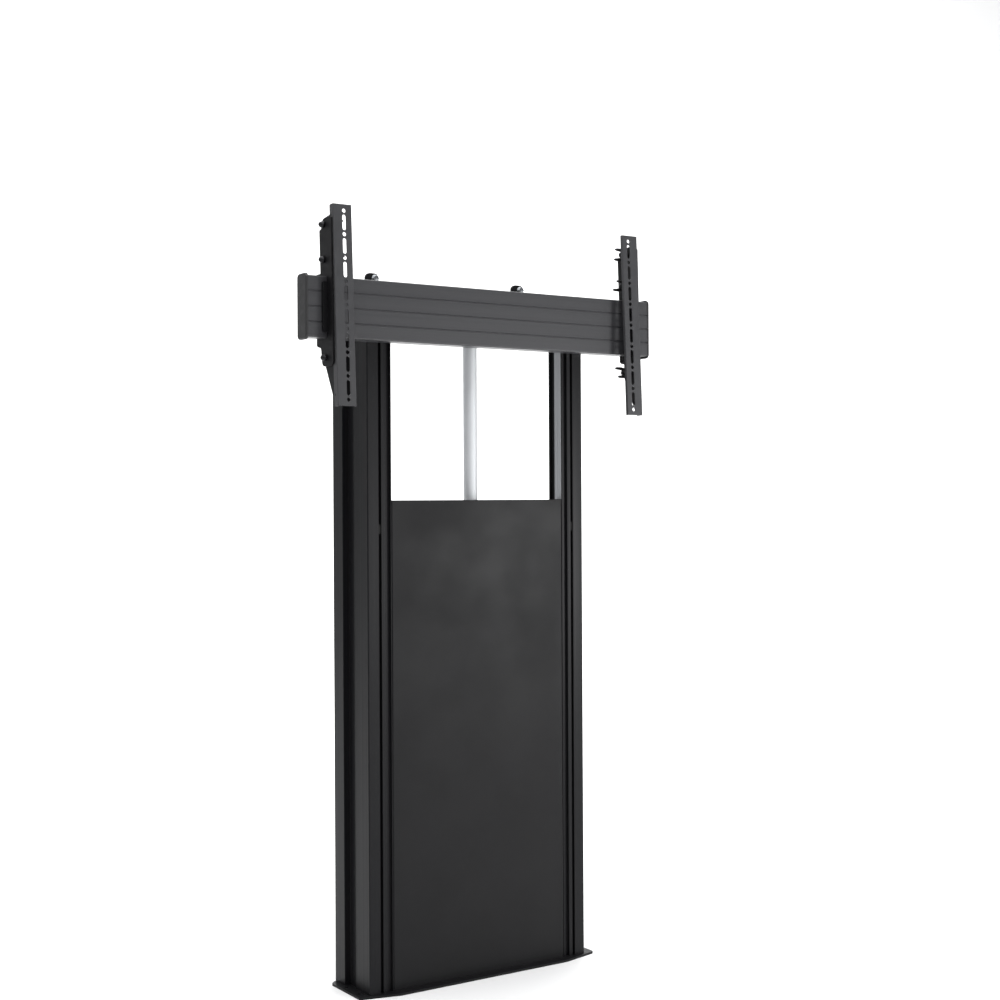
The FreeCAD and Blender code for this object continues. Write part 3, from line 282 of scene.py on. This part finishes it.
abs_cap = moulded("moulded_abs_cap", "#202021", "#272728",
                  smooth=0.45, rough=0.58, pit_mm=0.9, depth_mm=0.03, ior=1.53)
nylon_knob = moulded("glass_filled_nylon", "#101011", "#161617",
                     smooth=0.50, rough=0.62, pit_mm=0.8, depth_mm=0.03, ior=1.52)
acetal = moulded("acetal_guide", "#2f2f31", "#38383a",
                 smooth=0.30, rough=0.40, pit_mm=1.5, depth_mm=0.008, ior=1.48)
rubber = moulded("nitrile_rubber", "#131313", "#1a1a1a",
                 smooth=0.75, rough=0.88, pit_mm=1.0, depth_mm=0.04, ior=1.52)
print("finishes:", abs_cap.name, nylon_knob.name, acetal.name, rubber.name)

# %% [markdown]
# ## Bare and plated metals
#
# The moving tube of the strut is drawn aluminium with a clear anodised
# skin: bright and satin, with fine lines along it. Screws and bolts are
# zinc plated, a cool grey with cloudy patches from the bath. The strips
# inside the columns are drawn aluminium too, left duller. The gas spring
# is ground and chromed, nearly a mirror. A metal keeps the default IOR,
# and the same streaks tint it, dull it and give it its relief.

# %% Metals


def bare_metal(name, dark, light, smooth, rough, grain, depth_mm):
    finish, tree, shader = start_finish(name, Metallic=1.0)
    streaks = noise_in_mm(tree, grain, detail=2.0)
    tinted(tree, shader, streaks, dark, light)
    uneven(tree, shader, streaks, smooth, rough)
    relief(tree, shader, streaks, depth_mm)
    return finish


bright_tube = bare_metal("clear_anodised_tube", "#d6d8da", "#e8eaec",
                         smooth=0.66, rough=0.76, grain=(1.2, 1.2, 260), depth_mm=0.008)
zinc_plate = bare_metal("zinc_plated_steel", "#85888b", "#a3a6a9",
                        smooth=0.42, rough=0.56, grain=(5, 5, 5), depth_mm=0.01)
drawn_strip = bare_metal("drawn_aluminium_strip", "#a0a2a5", "#adafb2",
                         smooth=0.44, rough=0.54, grain=(1.2, 1.2, 260), depth_mm=0.008)
ground_rod = bare_metal("ground_steel", "#8f9194", "#b4b6b9",
                        smooth=0.12, rough=0.22, grain=(30, 30, 0.8), depth_mm=0.003)
print("finishes:", bright_tube.name, zinc_plate.name, drawn_strip.name, ground_rod.name)

# %% [markdown]
# Two steel parts are painted with stoving enamel, a smooth glossy black:
# the fixed tube of the strut and the plug in its foot. Small black
# fasteners are oxidised in a hot bath, which leaves a dark oily sheen: the
# oxide is part metal to the eye, so its metallic value lies in between.

# %% Enamel and black oxide
enamel, tree, shader = start_finish("stoving_enamel", Metallic=0.0, IOR=1.5)
tinted(tree, shader, noise_in_mm(tree, (60, 60, 60)), "#222326", "#27282b")
uneven(tree, shader, noise_in_mm(tree, (20, 20, 40), detail=2.0), smooth=0.27, rough=0.31)
relief(tree, shader, noise_in_mm(tree, (4, 4, 8), detail=1.0), height_mm=0.002)

black_oxide, tree, shader = start_finish("black_oxide_steel", Metallic=0.6)
tinted(tree, shader, noise_in_mm(tree, (4, 4, 4)), "#1c1c1e", "#2e2e31")
uneven(tree, shader, noise_in_mm(tree, (3, 3, 3), detail=2.0), smooth=0.34, rough=0.50)
relief(tree, shader, noise_in_mm(tree, (0.8, 0.8, 0.8), detail=1.0), height_mm=0.01)
print("finishes:", enamel.name, black_oxide.name)

# %% [markdown]
# ## Dress the solids
#
# The solids from the engineering model have the right shapes, so they stay
# and only get their finish. The table says it once for each finish.

# %% Give every node its finish
KNOB_TURNS = {"upper": 10.0, "middle": 36.0, "lower": -28.0}     # degrees from upright
FINISHES = {
    powder_coat: ("base_plate front_cover middle_cross_member lower_cross_member rear_cross_member "
                  "top_cross_member wall_brackets strut_foot_bracket carriage_plate strut_head_bracket "
                  "left_hook_plate right_hook_plate left_tilt_plate right_tilt_plate"),
    anodised_upright: "left_column right_column",
    anodised_level_painted_glare: "crossbar",
    electro_coat: "left_display_rail right_display_rail",
    abs_cap: "left_column_cap right_column_cap left_end_cap right_end_cap strut_clamp",
    nylon_knob: " ".join("%s_%s_knob" % (side, level) for side in SIDES for level in KNOB_TURNS),
    zinc_plate: ("column_foot_screws member_bolts wall_clamp_bolts strut_foot_pin strut_head_bolt "
                 "bar_screws shoe_screws"),
    black_oxide: "cover_screws left_bracket_studs right_bracket_studs left_rail_rivets right_rail_rivets",
    rubber: "travel_stops",
    bright_tube: "strut_inner_tube",
    enamel: "strut_outer_tube strut_foot_plug",
    ground_rod: "gas_spring_cylinder gas_spring_rod",
    acetal: "guide_shoes strut_bush left_pivot_bush right_pivot_bush",
}
dressed = 0
for finish, names in FINISHES.items():
    for name in names.split():
        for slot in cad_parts[name].material_slots:
            slot.material = finish
        dressed += 1
print("dressed", dressed, "of", len(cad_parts), "nodes")

# %% [markdown]
# ## Fasteners
#
# Threads, chamfers and sockets were left out of the engineering model, where
# a bolt is a plain shank with a plain head. Here each one is replaced by a
# piece with the right form. First the places: a node such as the wall clamp
# bolts holds several separate solids, and walking along the edges of its
# mesh finds the box round each of them.

# %% Find the solids in a node
SAME_POINT = 0.01 * MM           # corners nearer than this are one corner


def solid_boxes(name):
    build = bmesh.new()
    build.from_mesh(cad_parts[name].data)
    bmesh.ops.remove_doubles(build, verts=build.verts, dist=SAME_POINT)
    waiting = set(build.verts)
    boxes = []
    while waiting:
        found = [waiting.pop()]
        for vertex in found:
            near = {edge.other_vert(vertex) for edge in vertex.link_edges} & waiting
            waiting -= near
            found.extend(near)
        boxes.append((Vector([min(vertex.co[i] for vertex in found) for i in range(3)]),
                      Vector([max(vertex.co[i] for vertex in found) for i in range(3)])))
    build.free()
    return sorted(boxes, key=lambda box: tuple(round(value, 4) for value in box[0]))


print("member bolts found:", len(solid_boxes("member_bolts")))

# %% [markdown]
# Nearly every fastener is turned on a lathe, so it can be described by
# rings along its axis, each with a radius and a distance. Heads could be
# cut with Booleans too, but rings leave clean faces, and each form is one
# short list. A hexagon is a ring too: at an angle `t` from the middle of a
# flat its radius is `across flats / 2 / cos(t)`. Where a head's top is
# chamfered at 30 degrees, the corners, which reach farther out, fall away
# and leave the curved edges that every real hexagon head has.

# %% Rings
RING_STEPS = 72                  # a multiple of six, so that hexagon corners are kept
CHAMFER = math.tan(math.radians(30))
FLAT_TOP = 0.475                 # radius of a hexagon head's flat top, in widths across flats
SOFT_EDGE = 0.3                  # mm, taken off the edges of washers and shoulders


def circle(radius, along):
    return [(radius, along)] * RING_STEPS


def hexagon(across_flats, along, flat_radius=None):
    # With a flat_radius, the ring is the edge that a chamfer round that flat top leaves.
    ring = []
    for step in range(RING_STEPS):
        from_flat = math.radians((360 * step / RING_STEPS) % 60 - 30)
        radius = across_flats / 2 / math.cos(from_flat)
        fall = (radius - flat_radius) * CHAMFER if flat_radius else 0.0
        ring.append((radius, along - fall))
    return ring


def chamfered_end(diameter, chamfer):
    return [circle(diameter / 2 - chamfer, 0.0), circle(diameter / 2, chamfer)]


M8_FLATS, M12_FLATS = 13.0, 18.0     # nominal widths across flats, mm
corner_radius, corner_height = hexagon(M8_FLATS, 0.0, M8_FLATS * FLAT_TOP)[0]
print("an M8 head, mm: corner radius", round(corner_radius, 2), "and chamfer", round(-corner_height, 2))

# %% [markdown]
# From these rings come three forms: a bolt with a washer and a dished
# hexagon head, the strut's head bolt, which draws a plug up into the end of
# the inner tube, and a countersunk screw, whose socket is a hexagon that
# ends in a drilled cone.

# %% Bolts and screws


def hex_head(across_flats, start, height):
    rim_share, floor_share, dish_depth = 0.75, 0.68, 0.5
    flat = across_flats * FLAT_TOP
    top = start + height
    return [hexagon(across_flats, start), hexagon(across_flats, top, flat), circle(flat, top),
            circle(flat * rim_share, top), circle(flat * floor_share, top - dish_depth)]


def hex_bolt(length, shank, washer, washer_height, across_flats, head_height):
    seat = length - head_height
    under = seat - washer_height
    return chamfered_end(shank, 0.8) + [
        circle(shank / 2, under), circle(washer / 2 - SOFT_EDGE, under),
        circle(washer / 2, under + SOFT_EDGE), circle(washer / 2, seat - SOFT_EDGE),
        circle(washer / 2 - SOFT_EDGE, seat)] + hex_head(across_flats, seat, head_height)


def bolt_with_plug(length, plug, plug_height, shank, washer, washer_height, across_flats, head_height):
    # The plug takes the place of the bolt's own end.
    bolt = hex_bolt(length, shank, washer, washer_height, across_flats, head_height)
    own_end = len(chamfered_end(shank, 0.8))
    return chamfered_end(plug, 0.5) + [
        circle(plug / 2, plug_height), circle(shank / 2, plug_height)] + bolt[own_end:]


def countersunk_screw(length, shank, head, head_height, socket):
    rim_below, rim_edge, lead_in = 0.35, 0.1, 0.15
    socket_mouth, cone_end, cone_depth = socket * 0.62, socket * 0.2, 0.3
    socket_floor = length - head_height * 0.7
    return chamfered_end(shank, 0.5) + [
        circle(shank / 2, length - head_height), circle(head / 2, length - rim_below),
        circle(head / 2, length - rim_edge), circle(head / 2 - rim_edge, length),
        circle(socket_mouth, length), hexagon(socket, length - lead_in),
        hexagon(socket, socket_floor), circle(cone_end, socket_floor - cone_depth)]


# %% [markdown]
# A stud of a bracket has, from its inner end: a chamfered end that stands
# out of the knob, the shank, a shoulder, the part that is fixed in the
# plate, and a cap nut. A cap nut is a hexagon with a dome, and the dome is
# a few rings with radius `R cos(a)` and height `R sin(a)`.

# %% Studs with cap nuts
DOME_RINGS = 7
DOME_STEP = 13                   # degrees from one ring of the dome to the next


def stud_with_cap_nut(length, shank, shoulder, shoulder_height, plate, across_flats, nut_height, dome_height):
    nut_start = length - dome_height - nut_height
    nut_end = length - dome_height
    shoulder_end = nut_start - plate
    shoulder_start = shoulder_end - shoulder_height
    flat = across_flats * FLAT_TOP
    rings = chamfered_end(shank, 1.2) + [
        circle(shank / 2, shoulder_start), circle(shoulder / 2 - SOFT_EDGE, shoulder_start),
        circle(shoulder / 2, shoulder_start + SOFT_EDGE), circle(shoulder / 2, shoulder_end),
        circle(shank / 2, shoulder_end), circle(shank / 2, nut_start),
        hexagon(across_flats, nut_start), hexagon(across_flats, nut_end, flat)]
    dome_radius = flat * 0.98
    last_sine = math.sin(math.radians(DOME_STEP * (DOME_RINGS - 1)))
    for step in range(DOME_RINGS):
        angle = math.radians(DOME_STEP * step)
        height = dome_height * math.sin(angle) / last_sine
        rings.append(circle(dome_radius * math.cos(angle), nut_end + height))
    return rings


# %% [markdown]
# The rings are set along an axis and skinned with quads. Faces are smooth,
# and an edge stays sharp where two faces meet at more than 30 degrees.

# %% Skin the rings
SHARP = math.radians(30)


def join_loops(build, loops_of_points, bored=False):
    # A bored piece's last loop joins its first, and leaves a hole; any other gets two end faces.
    loops = [[build.verts.new(point) for point in points] for points in loops_of_points]
    for lower, upper in zip(loops, loops[1:] + (loops[:1] if bored else [])):
        for step in range(len(lower)):
            following = (step + 1) % len(lower)
            build.faces.new((lower[step], lower[following], upper[following], upper[step]))
    if not bored:
        build.faces.new(loops[0][::-1])
        build.faces.new(loops[-1])


def skin(build, place, axis, rings):
    turn_to = Vector(axis).to_track_quat("Z", "Y").to_matrix()
    loops = []
    for ring in rings:
        loop = []
        for step, (radius, along) in enumerate(ring):
            angle = math.radians(360 * step / RING_STEPS)
            point = Vector((radius * math.cos(angle), radius * math.sin(angle), along)) * MM
            loop.append(place + turn_to @ point)
        loops.append(loop)
    join_loops(build, loops)


def finished_object(name, build, finish):
    for face in build.faces:
        face.smooth = True
    for edge in build.edges:
        edge.smooth = edge.calc_face_angle(0.0) < SHARP
    mesh = bpy.data.meshes.new(name)
    build.to_mesh(mesh)
    build.free()
    mesh.materials.append(finish)
    piece = bpy.data.objects.new(name, mesh)
    bpy.context.scene.collection.objects.link(piece)
    return piece


def replace_fasteners(node, body, slot, finish, head_towards, form, **sizes):
    # head_towards gives the direction of the head, from the middle of a solid's box.
    build = bmesh.new()
    boxes = solid_boxes(node)
    for low, high in boxes:
        middle = (low + high) / 2
        axis = Vector(head_towards(middle))
        length = abs((high - low).dot(axis))
        skin(build, middle - axis * length / 2, axis, form(length / MM, **sizes))
    piece = finished_object(node + "_detailed", build, finish)
    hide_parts(node)
    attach(piece, body)
    return len(boxes)


# %% [markdown]
# Every size below is the standard one for its thread: M8 bolts have heads
# 13 mm across flats, 5.3 mm high, and M12 heads are 18 mm across. A real
# M8 head measures a little under its 13 mm, so 12.8 mm is drawn.

# %% Replace the plain fasteners
ZINC, BLACKENED = "zinc_screws", "black_screws"
replaced = 0
replaced += replace_fasteners("wall_clamp_bolts", "stand", ZINC, zinc_plate,
                              lambda middle: (0, -1, 0), hex_bolt,
                              shank=8.0, washer=18.0, washer_height=1.6, across_flats=12.8, head_height=5.3)
replaced += replace_fasteners("member_bolts", "stand", ZINC, zinc_plate,
                              lambda middle: (-math.copysign(1, middle.x), 0, 0), hex_bolt,
                              shank=7.9, washer=16.0, washer_height=1.6, across_flats=12.8, head_height=5.3)
replaced += replace_fasteners("column_foot_screws", "stand", ZINC, zinc_plate, lambda middle: (0, 0, -1),
                              countersunk_screw, shank=7.9, head=14.6, head_height=3.7, socket=5.0)
replaced += replace_fasteners("cover_screws", "stand", BLACKENED, black_oxide, lambda middle: (0, 0, 1),
                              countersunk_screw, shank=4.0, head=7.0, head_height=1.4, socket=2.5)
replaced += replace_fasteners("bar_screws", "carriage", ZINC, zinc_plate, lambda middle: (0, 1, 0),
                              countersunk_screw, shank=8.0, head=14.0, head_height=3.5, socket=5.0)
replaced += replace_fasteners("strut_head_bolt", "carriage", ZINC, zinc_plate, lambda middle: (0, 0, 1),
                              bolt_with_plug, plug=27.8, plug_height=21.8, shank=12.0, washer=24.0,
                              washer_height=2.0, across_flats=M12_FLATS, head_height=8.0)
for side, outwards in (("left", -1), ("right", 1)):
    replaced += replace_fasteners(side + "_bracket_studs", side + "_hook", BLACKENED, black_oxide,
                                  lambda middle: (outwards, 0, 0), stud_with_cap_nut,
                                  shank=8.0, shoulder=14.0, shoulder_height=2.7, plate=4.0,
                                  across_flats=M8_FLATS, nut_height=6.5, dome_height=5.5)
print("fasteners replaced:", replaced)

# %% [markdown]
# ## Wing knobs
#
# The knobs are moulded in glass filled nylon: a round hub on a flared
# collar, and two wings that sweep away from the plate so that fingers get
# behind them. A moulded wing has no sharp edge and no even thickness: it is
# thickest at the hub and ends in a rounded tip. A box could be subdivided
# and pulled into that form by hand. Here each wing is a row of ovals along
# a curved spine, so that every size stands in a table. At every oval the
# spine gives the distance from the seat and from the axis, and the oval's
# two half sizes.

# %% Wings
WING_SPINE = [                   # from the seat, from the axis, half width, half thickness, mm
    (8.0, 5.0, 4.6, 4.2), (8.6, 7.0, 4.8, 4.0), (11.5, 9.2, 4.7, 3.6), (17.0, 10.8, 4.2, 3.2),
    (23.5, 11.5, 3.7, 3.1), (29.5, 11.8, 3.3, 3.2), (33.2, 11.8, 2.6, 2.7), (35.2, 11.8, 1.5, 1.7),
    (35.9, 11.8, 0.5, 0.6)]
WING_STEPS = 28


def wing_loops(side):
    # Ovals in the plane across the spine; the knob's own axis is Z, its wings lie along X.
    loops = []
    for index, (along, out, width, thickness) in enumerate(WING_SPINE):
        before = WING_SPINE[max(index - 1, 0)]
        after = WING_SPINE[min(index + 1, len(WING_SPINE) - 1)]
        forward = Vector((1, 0, 0))
        if index:
            forward = Vector((after[1] - before[1], 0, after[0] - before[0])).normalized()
        across = Vector((forward.z, 0, -forward.x))
        loop = []
        for step in range(WING_STEPS):
            angle = 2 * math.pi * step / WING_STEPS
            point = (Vector((out, 0, along)) + across * width * math.cos(angle)
                     + Vector((0, thickness * math.sin(angle), 0)))
            loop.append(Vector((point.x * side, point.y * side, point.z)))
        loops.append(loop)
    return loops


print("ovals in a wing:", len(wing_loops(1)))

# %% [markdown]
# The hub is turned like the fasteners: a collar with a soft rim, a waist,
# and a rounded end with the hole that the stud comes out of. The knob is
# set at the angle that the picture shows, and its box in the engineering
# model says where it sits.

# %% Knobs
HUB = [                          # from the axis, from the seat, mm
    (4.1, 0.2), (8.1, 0.2), (8.5, 0.7), (8.5, 3.4), (8.1, 4.2), (7.1, 5.2), (6.8, 9.0),
    (6.9, 14.0), (6.6, 17.4), (5.9, 18.6), (4.9, 19.0), (4.1, 18.4)]


def hub_loops():
    around = [2 * math.pi * step / RING_STEPS for step in range(RING_STEPS)]
    return [[Vector((radius * math.cos(angle), radius * math.sin(angle), along)) for angle in around]
            for radius, along in HUB]


def wing_knob(node, body, inwards, degrees):
    low, high = (Vector(corner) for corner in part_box(node))
    seat = (low + high) / 2
    seat.x = low.x if inwards > 0 else high.x
    wings_up = Vector((0, -math.sin(math.radians(degrees)), math.cos(math.radians(degrees))))
    axis = Vector((inwards, 0, 0))
    frame_of_knob = Matrix((wings_up, axis.cross(wings_up), axis)).transposed()
    build = bmesh.new()
    for loops, bored in ((wing_loops(-1), False), (wing_loops(1), False), (hub_loops(), True)):
        join_loops(build, [[seat + frame_of_knob @ point * MM for point in loop] for loop in loops], bored)
    bmesh.ops.recalc_face_normals(build, faces=build.faces[:])
    piece = finished_object(node + "_moulded", build, nylon_knob)
    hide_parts(node)
    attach(piece, body)
    return [round(size / MM, 1) for size in piece.dimensions]


for side, inwards in (("left", 1), ("right", -1)):
    for level, degrees in KNOB_TURNS.items():
        name = "%s_%s_knob" % (side, level)
        print(name, "measures, mm:", wing_knob(name, name + "_turn", inwards, degrees))

# %% [markdown]
# ## Bright strips inside the columns
#
# Above the cover, the picture shows a light line up the inner face of the
# column. It is made as a drawn aluminium strip, half a millimetre thick,
# with three flutes. A drawn piece has one section along its whole length,
# so the section is written once and repeated at four heights: the first
# and the last are a little smaller, which breaks the cut edges.

# %% Strips
STRIP_SECTION = [                # from the column's front face, out of its inner face, mm
    (1.2, 0.0), (1.2, 0.35), (1.5, 0.55), (5.0, 0.55), (5.6, 0.3), (7.4, 0.3), (8.0, 0.55), (12.4, 0.55),
    (13.0, 0.3), (14.8, 0.3), (15.4, 0.55), (19.8, 0.55), (20.4, 0.3), (22.2, 0.3), (22.8, 0.55),
    (26.5, 0.55), (26.8, 0.35), (26.8, 0.0)]
STRIP_MIDDLE = 14.0              # mm from the column's front face
STRIP_EDGE, END_SHARE = 0.3, 0.98    # a cut end is this share of the section, over this height in mm
ABOVE_COVER, BELOW_TOP = 1, 4    # mm that the strip keeps from the cover and from the column's top


def strip(side):
    low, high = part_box(side + "_column")
    face, inwards = (high.x, 1) if side == "left" else (low.x, -1)
    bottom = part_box("front_cover")[1].z + ABOVE_COVER * MM
    top = high.z - BELOW_TOP * MM
    levels = [(bottom, END_SHARE), (bottom + STRIP_EDGE * MM, 1.0),
              (top - STRIP_EDGE * MM, 1.0), (top, END_SHARE)]
    loops = []
    for height, share in levels:
        loop = []
        for back, out in STRIP_SECTION:
            depth = STRIP_MIDDLE + (back - STRIP_MIDDLE) * share
            loop.append(Vector((face + inwards * out * MM, low.y + depth * MM, height)))
        loops.append(loop)
    build = bmesh.new()
    join_loops(build, loops)
    bmesh.ops.recalc_face_normals(build, faces=build.faces[:])
    piece = finished_object(side + "_column_strip", build, drawn_strip)
    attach(piece, "stand")
    return round((top - bottom) / MM, 1)


print("strips, mm long:", [strip(side) for side in SIDES])

# %% [markdown]
# ## The studio
#
# A black satin object is mostly what it reflects. A white room would wash
# it out, so the world is a gentle grey-white, and the light that shapes
# the stand comes from a few large soft boxes. The floor curves up into a
# backdrop far behind, so no horizon line crosses the picture.

# %% Floor and backdrop
FLOOR_FRONT, FLOOR_BACK = -9.0, 6.0      # metres from the stand
CURVE_RADIUS, CURVE_STEPS = 3.0, 12
WALL_TOP, HALF_WIDTH = 12.0, 20.0

profile = [(FLOOR_FRONT, 0.0), (FLOOR_BACK, 0.0)]
for step in range(1, CURVE_STEPS + 1):
    turn = math.radians(90 * step / CURVE_STEPS)
    profile.append((FLOOR_BACK + CURVE_RADIUS * math.sin(turn), CURVE_RADIUS - CURVE_RADIUS * math.cos(turn)))
profile.append((FLOOR_BACK + CURVE_RADIUS, WALL_TOP))

floor_mesh = bpy.data.meshes.new("studio_floor")
floor_build = bmesh.new()
edge_left = [floor_build.verts.new((-HALF_WIDTH, y, z)) for y, z in profile]
edge_right = [floor_build.verts.new((HALF_WIDTH, y, z)) for y, z in profile]
for index in range(len(profile) - 1):
    floor_build.faces.new((edge_left[index], edge_right[index], edge_right[index + 1], edge_left[index + 1]))
floor_build.to_mesh(floor_mesh)
floor_build.free()
for polygon in floor_mesh.polygons:
    polygon.use_smooth = True
studio_floor = bpy.data.objects.new("studio_floor", floor_mesh)
studio_floor.rotation_euler = (0.0, 0.0, -TURNED)
bpy.context.scene.collection.objects.link(studio_floor)
pale_floor, tree, shader = start_finish("pale_studio_floor", Metallic=0.0, Roughness=0.7,
                                        Specular_IOR_Level=0.2)
tinted(tree, shader, noise_in_mm(tree, (900, 900, 900)), "#f3f3f3", "#f8f8f8")
floor_mesh.materials.append(pale_floor)
print("floor and backdrop, m:", [round(size, 1) for size in studio_floor.dimensions])

# %% [markdown]
# An area light is a soft box. Each one is aimed at a point on the stand,
# and its size decides how wide its glow is on the satin paint. The key
# box stands to the right, because the picture shows its soft glow on the
# upper half of the cover. The left box lights the columns' outer sides
# from above, and the backdrop box only whitens the wall.

# %% Lights


def soft_box(name, place, target, size, watts):
    light = bpy.data.lights.new(name, "AREA")
    light.shape = "RECTANGLE"
    light.size, light.size_y = size
    light.energy = watts
    lamp = bpy.data.objects.new(name, light)
    lamp.location = place
    lamp.rotation_euler = (Vector(target) - Vector(place)).to_track_quat("-Z", "Y").to_euler()
    bpy.context.scene.collection.objects.link(lamp)
    print(name, "gives", watts, "W")


soft_box("key_box", place=(1.9, -2.7, 0.85), target=(0.09, 0.0, 0.88), size=(0.7, 0.7), watts=34)
soft_box("overhead_box", place=(0.0, -0.4, 4.8), target=(0.0, 0.0, 0.0), size=(5.0, 5.0), watts=300)
soft_box("left_box", place=(-3.4, 0.9, 2.1), target=(-0.3, 0.0, 1.1), size=(0.8, 2.0), watts=8)
soft_box("backdrop_box", place=(1.5, 3.5, 5.0), target=(3.0, 6.5, 0.6), size=(7.0, 2.0), watts=520)

# %% [markdown]
# The world is the light that comes from everywhere. The Standard view shows
# each colour as it is, where Blender's usual one would turn white to grey.

# %% Air and view
world = bpy.data.worlds.new("studio_air")
world.use_nodes = True
air = world.node_tree.nodes["Background"]
air.inputs["Color"].default_value = linear("#f4f5f7")
air.inputs["Strength"].default_value = 0.45
bpy.context.scene.world = world
bpy.context.scene.view_settings.view_transform = "Standard"
print("world:", world.name, "of strength", round(air.inputs["Strength"].default_value, 2))
